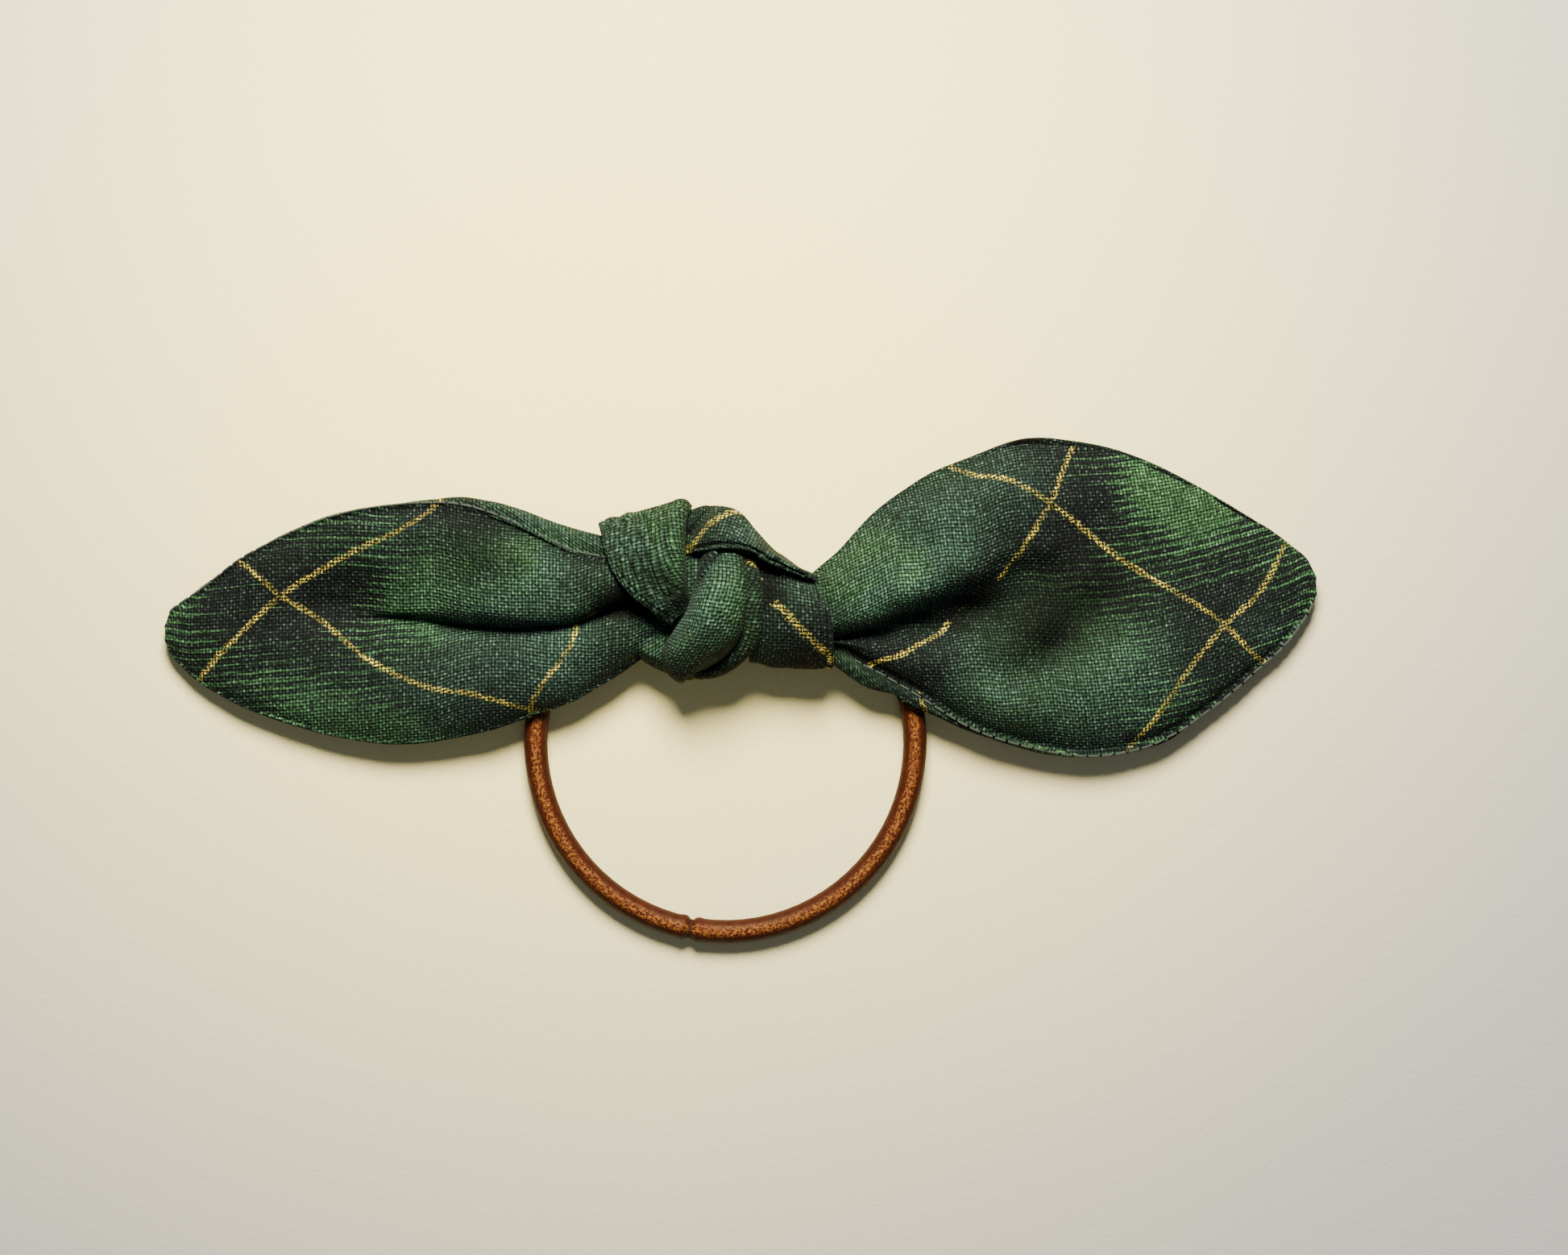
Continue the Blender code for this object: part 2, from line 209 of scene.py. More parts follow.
def dented(grid, dents):
    # long soft hollows, or ridges where the depth is negative, between two places
    grid = grid.copy()
    for x0, y0, x1, y1, depth, width in dents:
        along = np.array([x1 - x0, y1 - y0])
        offset = grid[..., :2] - np.array([x0, y0])
        share = np.clip(offset @ along / (along @ along), 0, 1)
        distance = np.linalg.norm(offset - share[..., None] * along, axis=-1)
        grid[..., 2] -= depth * np.exp(-((distance / width) ** 2))
    return grid


def paintedShadeAndTone(grid, spots):
    # painted shade and painted light, in doublings, laid over the print's own lighter and darker
    # patches, and where the print turns teal
    light = np.zeros(grid.shape[:2])
    teal = np.zeros(grid.shape[:2])
    for x, y, reach, lighter, tealer in spots:
        near = np.exp(-(((grid[..., 0] - x) ** 2 + (grid[..., 1] - y) ** 2) / reach**2))
        light += lighter * near
        teal += tealer * near
    return light, teal


def lined(grid, v, lines):
    # grooves along a seam or a pressed edge: which edge, mm from it, depth and width
    narrow = 6.0  # mm: they fade where the cloth is gathered narrower than this
    n = normalsOf(grid)
    depth = np.zeros(grid.shape[:2])
    for edge, away, deep, width in lines:
        distance = v - v[:, :1] if edge == "start" else v[:, -1:] - v
        depth += deep * np.exp(-(((distance - away) / width) ** 2))
    depth *= np.clip((v[:, -1:] - v[:, :1]) / narrow, 0, 1) ** 2
    return grid - n * depth[..., None]


def linked(name, data):
    obj = bpy.data.objects.new(name, data)
    bpy.context.scene.collection.objects.link(obj)
    return obj


def meshFrom(name, grid, maps):
    # a mesh over the grid, with a UV map for each pair of values in maps
    rows, columns = grid.shape[:2]
    points = (grid * mm).reshape(-1, 3)
    i, j = np.meshgrid(np.arange(rows - 1), np.arange(columns - 1), indexing="ij")
    a = i * columns + j
    b = a + 1
    faces = np.stack([a, b, b + columns, a + columns], axis=-1).reshape(-1, 4)
    mesh = bpy.data.meshes.new(name)
    mesh.from_pydata(points.tolist(), [], faces.tolist())
    corners = np.empty(len(mesh.loops), np.int32)
    mesh.loops.foreach_get("vertex_index", corners)
    for mapName, (s, t) in maps.items():
        layer = mesh.uv_layers.new(name=mapName)
        pairs = np.stack([s.reshape(-1)[corners], t.reshape(-1)[corners]], axis=-1)
        layer.uv.foreach_set("vector", pairs.astype(np.float32).reshape(-1))
    mesh.shade_smooth()
    return linked(name, mesh)


def joined(obj, within):
    # closes the mesh where its first and last column meet
    weld = obj.modifiers.new("join", "WELD")
    weld.merge_threshold = within * mm


def thickened(obj, thickness):
    solid = obj.modifiers.new("wall", "SOLIDIFY")
    solid.thickness = thickness * mm
    solid.offset = -1.0


# Shader maths.


class Wire:
    # a socket that takes part in sums
    def __init__(self, shader, socket):
        self.shader = shader
        self.socket = socket

    def maths(self, operation, *others):
        return self.shader.maths(operation, self, *others)

    def __add__(self, other):
        return self.maths("ADD", other)

    def __sub__(self, other):
        return self.maths("SUBTRACT", other)

    def __rsub__(self, other):
        return self.shader.maths("SUBTRACT", other, self)

    def __mul__(self, other):
        return self.maths("MULTIPLY", other)

    def __truediv__(self, other):
        return self.maths("DIVIDE", other)

    def __rtruediv__(self, other):
        return self.shader.maths("DIVIDE", other, self)

    def __pow__(self, other):
        return self.maths("POWER", other)

    def __rpow__(self, other):
        return self.shader.maths("POWER", other, self)

    __radd__ = __add__
    __rmul__ = __mul__


class Shader:
    def __init__(self, name, **constants):
        self.material = bpy.data.materials.new(name)
        self.material.use_nodes = True
        self.tree = self.material.node_tree
        self.surface = self.tree.nodes["Principled BSDF"]
        for socket, value in constants.items():
            self.surface.inputs[socket.replace("_", " ")].default_value = value

    def make(self, kind, settings=None, inputs=(), output=0):
        node = self.tree.nodes.new(kind)
        for key, value in (settings or {}).items():
            setattr(node, key, value)
        pairs = inputs.items() if isinstance(inputs, dict) else enumerate(inputs)
        for key, value in pairs:
            if isinstance(value, Wire):
                self.tree.links.new(value.socket, node.inputs[key])
            else:
                node.inputs[key].default_value = value
        return Wire(self, node.outputs[output])

    def maths(self, operation, *values):
        return self.make("ShaderNodeMath", {"operation": operation}, values)

    def mix(self, share, first, second):
        colours = [(*c, 1.0) if isinstance(c, tuple) else c for c in (first, second)]
        node = {"data_type": "RGBA", "clamp_factor": True}
        return self.make("ShaderNodeMix", node, {0: share, 6: colours[0], 7: colours[1]}, 2)

    def noise(self, place, scale, detail=2.0, rough=0.5):
        inputs = {"Vector": place, "Scale": scale, "Detail": detail, "Roughness": rough}
        return self.make("ShaderNodeTexNoise", None, inputs)

    def ramp(self, value, low, high):
        # 0 below low and 1 above high, with a smooth change
        node = {"interpolation_type": "SMOOTHSTEP"}
        return self.make("ShaderNodeMapRange", node, [value, low, high, 0.0, 1.0])

    def uvMap(self, name):
        return self.make("ShaderNodeUVMap", {"uv_map": name})

    def objectPlace(self):
        # where a point lies on its object, in metres
        return self.make("ShaderNodeTexCoord", None, (), 3)

    def vector(self, x, y, z=0.0):
        return self.make("ShaderNodeCombineXYZ", None, [x, y, z])

    def parts(self, vector):
        first = self.make("ShaderNodeSeparateXYZ", None, [vector])
        return [Wire(self, output) for output in first.socket.node.outputs]

    def bump(self, height, distance, strength=1.0):
        inputs = {"Strength": strength, "Distance": distance, "Height": height}
        return self.make("ShaderNodeBump", None, inputs)

    def feed(self, socket, wire):
        self.tree.links.new(wire.socket, self.surface.inputs[socket])


# The cotton and its print. The plaid's two coordinates, p and q, are whole numbers on gold lines.

cloth = {
    "thickness": 0.32,  # mm
    "threadPitch": 0.44,  # mm between threads, both ways
    "weaveBump": 0.00014,  # m
    "lineWaver": 0.02,  # how far the gold lines wander, of the distance between two
    "goldWidth": 0.66,  # mm
    "goldFray": 0.75,  # mm
    "greenFrom": 0.12,  # where the green starts, of the distance between two gold lines
    "greenFull": 0.42,
    "greenRagged": 0.16,
    "hatchPitch": 1.1,  # mm between the printed twill lines
    "hatchWaver": 1.2,  # mm
    "strokesFrom": 30.0,  # mm from the knot: a soft wash turns into sharp strokes
    "strokesFull": 41.0,
    "strokesRagged": 22.0,
    "dark": (0.0032, 0.0054, 0.0058),
    "deep": (0.0038, 0.0112, 0.0074),
    "green": (0.0135, 0.0400, 0.0160),
    "bright": (0.0260, 0.0800, 0.0310),
    "teal": (0.0130, 0.0330, 0.0240),
    # the colour of the painted highlight on the thread tops
    "thread": (0.15, 0.23, 0.18),
    "gold": (0.34, 0.27, 0.028),
    "paleGold": (1.0, 0.88, 0.19),
    "copper": (0.50, 0.20, 0.04),
    "rubbedGold": (0.075, 0.070, 0.012),
}


def greenPrint(s, threads, nearP, nearQ):
    # dark beside the gold lines and green midway between them
    u, v, _ = s.parts(threads)
    blotch = s.noise(threads, 0.11, 2.0) - 0.5
    gateP = s.ramp(nearP + blotch * cloth["greenRagged"], cloth["greenFrom"], cloth["greenFull"])
    gateQ = s.ramp(nearQ + blotch * cloth["greenRagged"], cloth["greenFrom"], cloth["greenFull"])
    both = gateP * gateQ
    either = (gateP + gateQ) * 0.5
    ground = s.mix(s.ramp(either + blotch * 0.8, 0.15, 0.8), cloth["dark"], cloth["deep"])
    streaks = s.noise(s.vector(u * 0.15, v * 1.3), 1.0, 2.0) - 0.5
    bluish = s.ramp(s.noise(threads, 0.07, 3.0) + streaks * 0.5, 0.32, 0.68)
    # near the knot the green is a soft wash
    patches = s.noise(s.vector(u * 0.12, v * 0.6), 1.0, 3.0)
    soft = (both * 0.75 + either * 0.40) * (patches * 1.3 + 0.30)
    softColour = s.mix(soft, ground, s.mix(bluish, cloth["green"], cloth["teal"]))
    # further out, printed twill lines run along the threads and taper where the green fades
    row = (v + (s.noise(threads, 0.25) - 0.5) * cloth["hatchWaver"]) / cloth["hatchPitch"]
    tooth = (row.maths("FRACT") - 0.5).maths("ABSOLUTE") * 2.0
    rowShade = s.noise(s.vector(row.maths("FLOOR") * 0.73, u * 0.06), 1.0, 1.0) - 0.5
    ragged = (s.noise(s.vector(u * 1.6, v * 4.0), 1.0, 2.0) - 0.5) * 0.5
    reach = both * 0.90 + either * 0.62 + rowShade * 0.95 - 0.03
    strokes = s.ramp(reach - tooth * 0.85 + ragged, -0.02, 0.16)
    strokeColour = s.mix(strokes, ground, s.mix(bluish * 0.4, cloth["bright"], cloth["green"]))
    sharp = s.ramp(u + blotch * cloth["strokesRagged"], cloth["strokesFrom"], cloth["strokesFull"])
    return s.mix(sharp, softColour, strokeColour)


def weave(s, threads):
    # a plain weave: how light each thread's top is, and how high it stands
    u, v, _ = s.parts(threads)
    pitch = cloth["threadPitch"]
    a = (u * (math.pi / pitch)).maths("SINE")
    b = (v * (math.pi / pitch)).maths("SINE")
    crossing = a * b
    cover = (a.maths("ABSOLUTE") + b.maths("ABSOLUTE")) * 0.5
    # each thread has its own tone; the crossings get a painted highlight and the tiny holes painted
    # shade
    alongThread = s.noise(s.vector(u * 0.35, v * (2.0 / pitch)), 1.0, 1.0)
    acrossThread = s.noise(s.vector(u * (2.0 / pitch), v * 0.35), 1.0, 1.0)
    slub = (alongThread + acrossThread) * 0.5
    own = s.ramp(slub, 0.30, 0.70) * 0.95 + 0.25
    top = s.ramp(cover, 0.30, 0.86) * own * (crossing * 0.22 + 0.78)
    return top, cover * 0.6 + crossing * 0.35 + slub * 0.3


def goldPrint(s, threads, nearP, nearQ, light, top):
    # gold sits on the tops of the threads, broken up into specks
    spacingP, spacingQ, _ = s.parts(s.uvMap("spacing"))
    fray = (s.noise(threads, 2.2, 3.0, 0.7) - 0.5) * cloth["goldFray"]
    line = (nearP * spacingP).maths("MINIMUM", nearQ * spacingQ) + fray
    onLine = 1.0 - s.ramp(line, cloth["goldWidth"] * 0.36, cloth["goldWidth"] * 0.60)
    specks = s.noise(threads, 3.4, 2.0, 0.7)
    # gold is left out where the painted shade is deepest
    shown = s.ramp(light, -1.9, -1.1)
    gold = onLine * shown * s.ramp(specks * 0.8 + top * 0.26, 0.45, 0.60)
    pale = s.ramp(s.noise(threads, 4.5, 1.0), 0.46, 0.62)
    red = s.ramp(s.noise(threads, 6.7, 1.0), 0.62, 0.70)
    colour = s.mix(red, s.mix(pale, cloth["gold"], cloth["paleGold"]), cloth["copper"])
    # it is thick in some stretches and rubbed thin in others
    thick = s.ramp(s.noise(threads, 0.22, 2.0), 0.36, 0.60)
    colour = s.mix(thick, s.mix(0.5, colour, cloth["rubbedGold"]), colour)
    return gold * (thick * 0.35 + 0.65), colour


def plaidCotton():
    s = Shader("plaidCotton", Specular_IOR_Level=0.10, Sheen_Weight=0.015, Sheen_Roughness=0.4)
    threads = s.uvMap("threads")
    waver = (s.noise(threads, 0.9, 3.0) - 0.5) * cloth["lineWaver"]
    p, q, _ = s.parts(s.uvMap("plaid"))
    p = p + waver
    q = q + waver
    # how far off each family's nearest gold line is, from 0 on it to 0.5 midway
    nearP = (p - p.maths("ROUND")).maths("ABSOLUTE")
    nearQ = (q - q.maths("ROUND")).maths("ABSOLUTE")
    # the wash map's light is painted shade and painted light, along with the print's own lighter and
    # darker patches
    light, tealer, _ = s.parts(s.uvMap("wash"))
    printed = greenPrint(s, threads, nearP, nearQ)
    printed = s.mix(tealer.maths("MINIMUM", 1.0) * 0.75, printed, cloth["teal"])
    top, height = weave(s, threads)
    u, v, _ = s.parts(threads)
    grain = s.ramp(s.noise(s.vector(u * 2.4, v * 2.4), 1.0, 2.0, 0.6), 0.25, 0.75)
    brightness = 2.0**light
    shade = (top * (grain * 1.7 + 0.18) * 2.15 + 0.03) * brightness
    inputs = {"Hue": 0.5, "Saturation": 0.95, "Value": shade, "Color": printed}
    colour = s.make("ShaderNodeHueSaturation", None, inputs)
    # painted highlight on the thread tops, dimmed where painted shade lies
    threadHighlight = s.ramp(top * (grain + 0.4), 0.50, 1.15) * brightness.maths("MINIMUM", 1.0) * 0.24
    colour = s.mix(threadHighlight, colour, cloth["thread"])
    gold, goldColour = goldPrint(s, threads, nearP, nearQ, light, top)
    s.feed("Base Color", s.mix(gold, colour, goldColour))
    s.feed("Metallic", gold * 0.35)
    s.feed("Roughness", 0.85 - gold * 0.42)
    s.feed("Normal", s.bump(height + gold * 0.3, cloth["weaveBump"], 0.9))
    return s.material


def seamThread():
    s = Shader("seamThread", Specular_IOR_Level=0.3, Sheen_Weight=0.3)
    fibres = s.noise(s.objectPlace(), 6000.0, 2.0)
    s.feed("Base Color", s.mix(fibres, (0.006, 0.011, 0.008), (0.022, 0.040, 0.028)))
    s.feed("Roughness", fibres * 0.3 + 0.55)
    s.feed("Normal", s.bump(fibres, 0.00004))
    return s.material


cottonLook = plaidCotton()
threadLook = seamThread()


# Cloth pieces. Their settings hold rows of numbers, in mm and as seen from above:
# plaid: x and y of a place, and the plaid's p and q there
# spots: x and y, how far it reaches, doublings of light, share of teal; the light is painted shade in
# creases, pits and flanks, painted light on lit lobes and edges, and the print's own lighter and
# darker patches
# dents: from x and y to x and y, depth, width
# lines: which edge, how far from it, depth, width


def clothPiece(name, settings):
    grid = loft(settings["sections"], settings["along"], settings["across"])
    if settings.get("fit"):
        grid = settings["fit"](grid)
    grid = dented(grid, settings["dents"])
    u, v = clothLengths(grid)
    placePlaid = turnedPlaid if len(settings["plaid"]) == 2 else bentPlaid
    p, q = placePlaid(grid, u, v, settings["plaid"])
    # the closer together the print takes two gold lines to be, the wider it draws them
    closer = 1.0 / settings.get("goldScale", 1.0)
    turn = math.radians(settings.get("turn", 0))
    maps = {
        "plaid": (p, q),
        "spacing": (lineSpacing(grid, p) * closer, lineSpacing(grid, q) * closer),
        # painted shade and painted light, with the print's own lighter, darker and teal patches
        "wash": paintedShadeAndTone(grid, settings["spots"]),
        "threads": (
            u * math.cos(turn) + v * math.sin(turn),
            v * math.cos(turn) - u * math.sin(turn),
        ),
    }
    # a mirrored piece's grid runs the other way round
    mirrored = settings.get("mirrored", False)
    way = slice(None, None, -1 if mirrored else 1)
    outward = -1.0 if mirrored else 1.0
    grid = wrinkled(grid[:, way], u, v, settings["wrinkles"], settings["seed"])[:, way]
    lines = [(edge, away, deep * outward, width) for edge, away, deep, width in settings["lines"]]
    grid = lined(grid, v, lines)
    obj = meshFrom(name, grid, maps)
    if mirrored:
        obj.data.flip_normals()
    obj.data.materials.append(cottonLook)
    thickened(obj, cloth["thickness"])
    return obj, grid


def sections(table):
    # each row is x, then the (y, z) pairs of the cloth's cross-section there
    return [[(x, y, z) for y, z in pairs] for x, *pairs in table]


def backSections(front, middles):
    # the back panel runs from the front panel's one seam to its other, through the middle pairs
    made = []
    for section, middle in zip(front, middles):
        x = section[0][0]
        made.append([section[-1], *[(x, y, z) for y, z in middle], section[0]])
    return made


# sizes in mm of a tail's wrinkles, along and across the cloth, and their heights
tailWrinkles = {"long": 13.0, "wide": 5.0, "soft": 0.42, "fine": 0.07, "pucker": 0.05}

# Left tail, from inside the knot to the tip. Front: lower edge, lower lobe, deep crease, upper
# lobe, seam. Back: what lies between the seam and the lower edge.
leftTail = {
    "front": sections([
        (-5.6, (-5.6, 4.9), (-4.9, 5.6), (-3.6, 6.2), (-1.9, 6.2), (-0.6, 5.6),
         (-0.6, 6.2), (0.3, 6.9), (2.2, 7.2), (4.0, 6.9), (4.8, 6.2)),
        (-9.6, (-6.8, 4.8), (-6.0, 6.2), (-4.2, 7.2), (-2.0, 7.2), (-0.6, 6.1),
         (-0.6, 7.2), (0.3, 8.4), (2.2, 9.0), (4.2, 8.4), (5.2, 7.2)),
        (-13.5, (-9.4, 4.8), (-8.3, 6.3), (-5.6, 7.6), (-2.4, 7.4), (-0.6, 5.9),
         (-0.8, 7.2), (0.3, 8.9), (2.2, 9.7), (3.9, 9.2), (4.8, 8.0)),
        (-18.5, (-12.0, 4.6), (-10.7, 6.2), (-7.2, 7.7), (-3.9, 7.2), (-1.9, 5.5),
         (-2.7, 7.0), (-1.9, 8.8), (1.0, 9.9), (4.0, 9.9), (5.8, 8.6)),
        (-25.0, (-14.7, 4.3), (-13.3, 5.8), (-9.0, 7.4), (-4.9, 6.9), (-2.5, 5.1),
         (-3.4, 6.8), (-2.6, 8.7), (1.6, 10.1), (6.0, 10.3), (9.0, 8.6)),
        (-32.0, (-16.6, 3.9), (-15.1, 5.3), (-10.2, 6.8), (-5.3, 6.3), (-2.4, 4.5),
         (-3.0, 5.9), (-2.0, 7.6), (2.6, 9.0), (7.8, 9.6), (11.3, 7.7)),
        (-40.0, (-17.7, 3.5), (-16.1, 4.8), (-10.8, 6.0), (-5.3, 5.4), (-1.9, 3.7),
         (-1.7, 4.5), (0.4, 5.5), (4.8, 7.0), (8.9, 7.6), (11.6, 6.2)),
        (-48.0, (-16.9, 3.1), (-15.3, 4.2), (-10.2, 5.1), (-5.0, 4.8), (-1.9, 3.8),
         (-0.5, 3.7), (1.6, 4.2), (5.2, 5.6), (8.2, 6.1), (10.2, 5.0)),
        (-56.0, (-14.7, 2.7), (-13.2, 3.7), (-9.0, 4.4), (-5.0, 4.5), (-2.4, 4.4),
         (-0.6, 4.6), (1.2, 5.0), (3.6, 5.2), (5.8, 4.7), (7.1, 3.7)),
        (-62.5, (-11.8, 2.3), (-10.5, 3.1), (-7.6, 3.7), (-5.0, 3.9), (-3.2, 3.9),
         (-2.0, 3.9), (-0.8, 3.9), (0.8, 3.8), (2.2, 3.4), (3.2, 2.8)),
        (-67.0, (-8.8, 2.0), (-7.9, 2.6), (-6.4, 3.0), (-5.0, 3.2), (-4.1, 3.2),
         (-3.4, 3.2), (-2.6, 3.2), (-1.7, 3.0), (-0.9, 2.7), (-0.2, 2.2)),
        (-69.2, (-6.3, 1.9), (-5.8, 2.2), (-5.2, 2.5), (-4.6, 2.6), (-4.2, 2.6),
         (-3.8, 2.6), (-3.3, 2.6), (-2.9, 2.5), (-2.4, 2.3), (-2.0, 2.0)),
        (-69.9, (-5.0, 1.9), (-4.8, 2.0), (-4.6, 2.1), (-4.4, 2.1), (-4.2, 2.1),
         (-4.0, 2.1), (-3.8, 2.1), (-3.6, 2.1), (-3.4, 2.0), (-3.2, 1.9)),
    ]),
    "backMiddles": [
        [(5.3, 6.2), (5.6, 5.6), (5.0, 4.8), (1.0, 4.5), (-4.0, 4.4)],
        [(5.9, 7.2), (6.3, 6.2), (5.7, 4.9), (1.0, 4.5), (-4.8, 4.4)],
        [(6.3, 8.4), (7.5, 7.2), (6.7, 5.2), (1.0, 4.4), (-6.6, 4.3)],
        [(7.4, 9.0), (8.8, 7.8), (7.8, 5.4), (0.0, 4.3), (-9.4, 4.2)],
        [(10.2, 8.9), (11.1, 7.8), (9.8, 5.2), (-1.0, 4.2), (-12.0, 3.9)],
        [(12.1, 7.9), (12.7, 6.9), (11.4, 4.6), (-1.0, 3.5), (-13.8, 3.4)],
        [(12.0, 6.1), (12.2, 5.3), (11.0, 3.6), (-2.0, 2.7), (-14.8, 2.9)],
        [(10.3, 4.8), (10.3, 4.3), (8.8, 2.9), (-3.0, 2.1), (-14.2, 2.4)],
        [(7.2, 3.5), (7.1, 3.2), (5.8, 2.2), (-4.0, 1.6), (-12.2, 2.0)],
        [(3.2, 2.6), (3.1, 2.4), (2.2, 1.8), (-4.2, 1.3), (-9.8, 1.7)],
        [(-0.2, 2.1), (-0.3, 2.0), (-0.9, 1.6), (-4.4, 1.3), (-7.5, 1.5)],
        [(-2.0, 1.9), (-2.1, 1.8), (-2.4, 1.6), (-4.2, 1.4), (-5.8, 1.5)],
        [(-3.25, 1.8), (-3.3, 1.75), (-3.5, 1.65), (-4.1, 1.6), (-4.8, 1.65)],
    ],
    "plaid": [
        (-66.0, -10.5, 0.0, -0.57), (-55.0, 0.5, 0.0, 0.0), (-47.0, 5.5, 0.0, 0.35),
        (-37.0, 10.5, 0.0, 0.76), (-60.0, 4.5, -0.23, 0.0), (-50.0, -2.5, 0.20, 0.0),
        (-46.0, -6.0, 0.38, 0.0), (-40.0, -9.5, 0.60, 0.0), (-34.0, -11.2, 0.78, 0.0),
        (-24.0, -13.5, 1.0, 0.0), (-21.0, -8.5, 1.0, 0.2), (-18.5, -4.5, 1.0, 0.37),
        (-16.0, -1.5, 1.0, 0.50), (-29.0, 4.0, 0.45, 0.55), (-15.0, 3.0, 0.78, 0.75),
        (-38.0, -16.0, 0.5, -0.30), (-9.0, -6.0, 1.40, 0.50), (-20.0, 7.0, 0.62, 0.80),
        (-12.0, -8.0, 1.25, 0.25), (-10.0, 3.0, 0.85, 0.80),
    ],
    # painted shade along the crease and under the upper lobe, painted light on the lower lip, with
    # the print's own lighter, darker and teal patches
    "spots": [
        (-66.0, -5.0, 4.5, -0.7, 0.1), (-14.8, -0.9, 1.3, -3.6, 0.0),
        (-12.4, 0.0, 1.5, -3.6, 0.0), (-10.6, 0.6, 1.5, -3.0, 0.0),
        (-52.0, 7.0, 6.0, -0.6, 0.2), (-20.0, 0.4, 3.6, 0.5, 0.0),
        (-28.0, -0.2, 4.0, 0.6, 0.0), (-36.0, -0.4, 4.0, 0.5, 0.0),
        (-19.0, 6.4, 3.6, -0.5, 0.0), (-29.0, 8.0, 4.5, -0.5, 0.0),
        (-30.0, 5.0, 5.0, -0.6, 0.0), (-40.0, 7.5, 5.0, 0.4, 0.1),
        (-22.0, 1.5, 5.0, 0.9, 0.0), (-20.0, -8.0, 6.0, 0.7, 0.9),
        (-31.0, -7.5, 6.0, 0.3, 0.6), (-50.0, -12.0, 6.0, -0.4, 0.5),
        (-43.0, -13.0, 5.0, -0.3, 0.2), (-44.0, 3.0, 4.0, -0.5, 0.0),
        (-36.0, -13.5, 5.0, 0.2, 0.3),
    ],
    "backPlaid": [(-35.2, 12.3, 0.0, 0.5), (-20.0, 9.3, 0.57, 0.5)],
    # painted shade where the back panel tucks under the knot
    "backSpots": [(-11.3, -8.2, 1.8, -5.0, 0.0)],
    "dents": [(-50.0, -0.5, -43.0, -1.2, 0.5, 2.0), (-30.0, -13.0, -44.0, -12.0, -0.5, 4.0)],
    "lines": [("end", 0.0, 0.55, 0.34), ("start", 0.0, 0.15, 0.3)],
    "backLines": [("start", 0.0, 0.45, 0.34)],
    "joint": "left_tail_flex",
    "bendFrom": 2.2,  # mm from the hinge towards the knot
    "bendTo": 6.0,  # mm from the hinge towards the tip
    "seed": 3.0,
    "backSeed": 14.0,
}

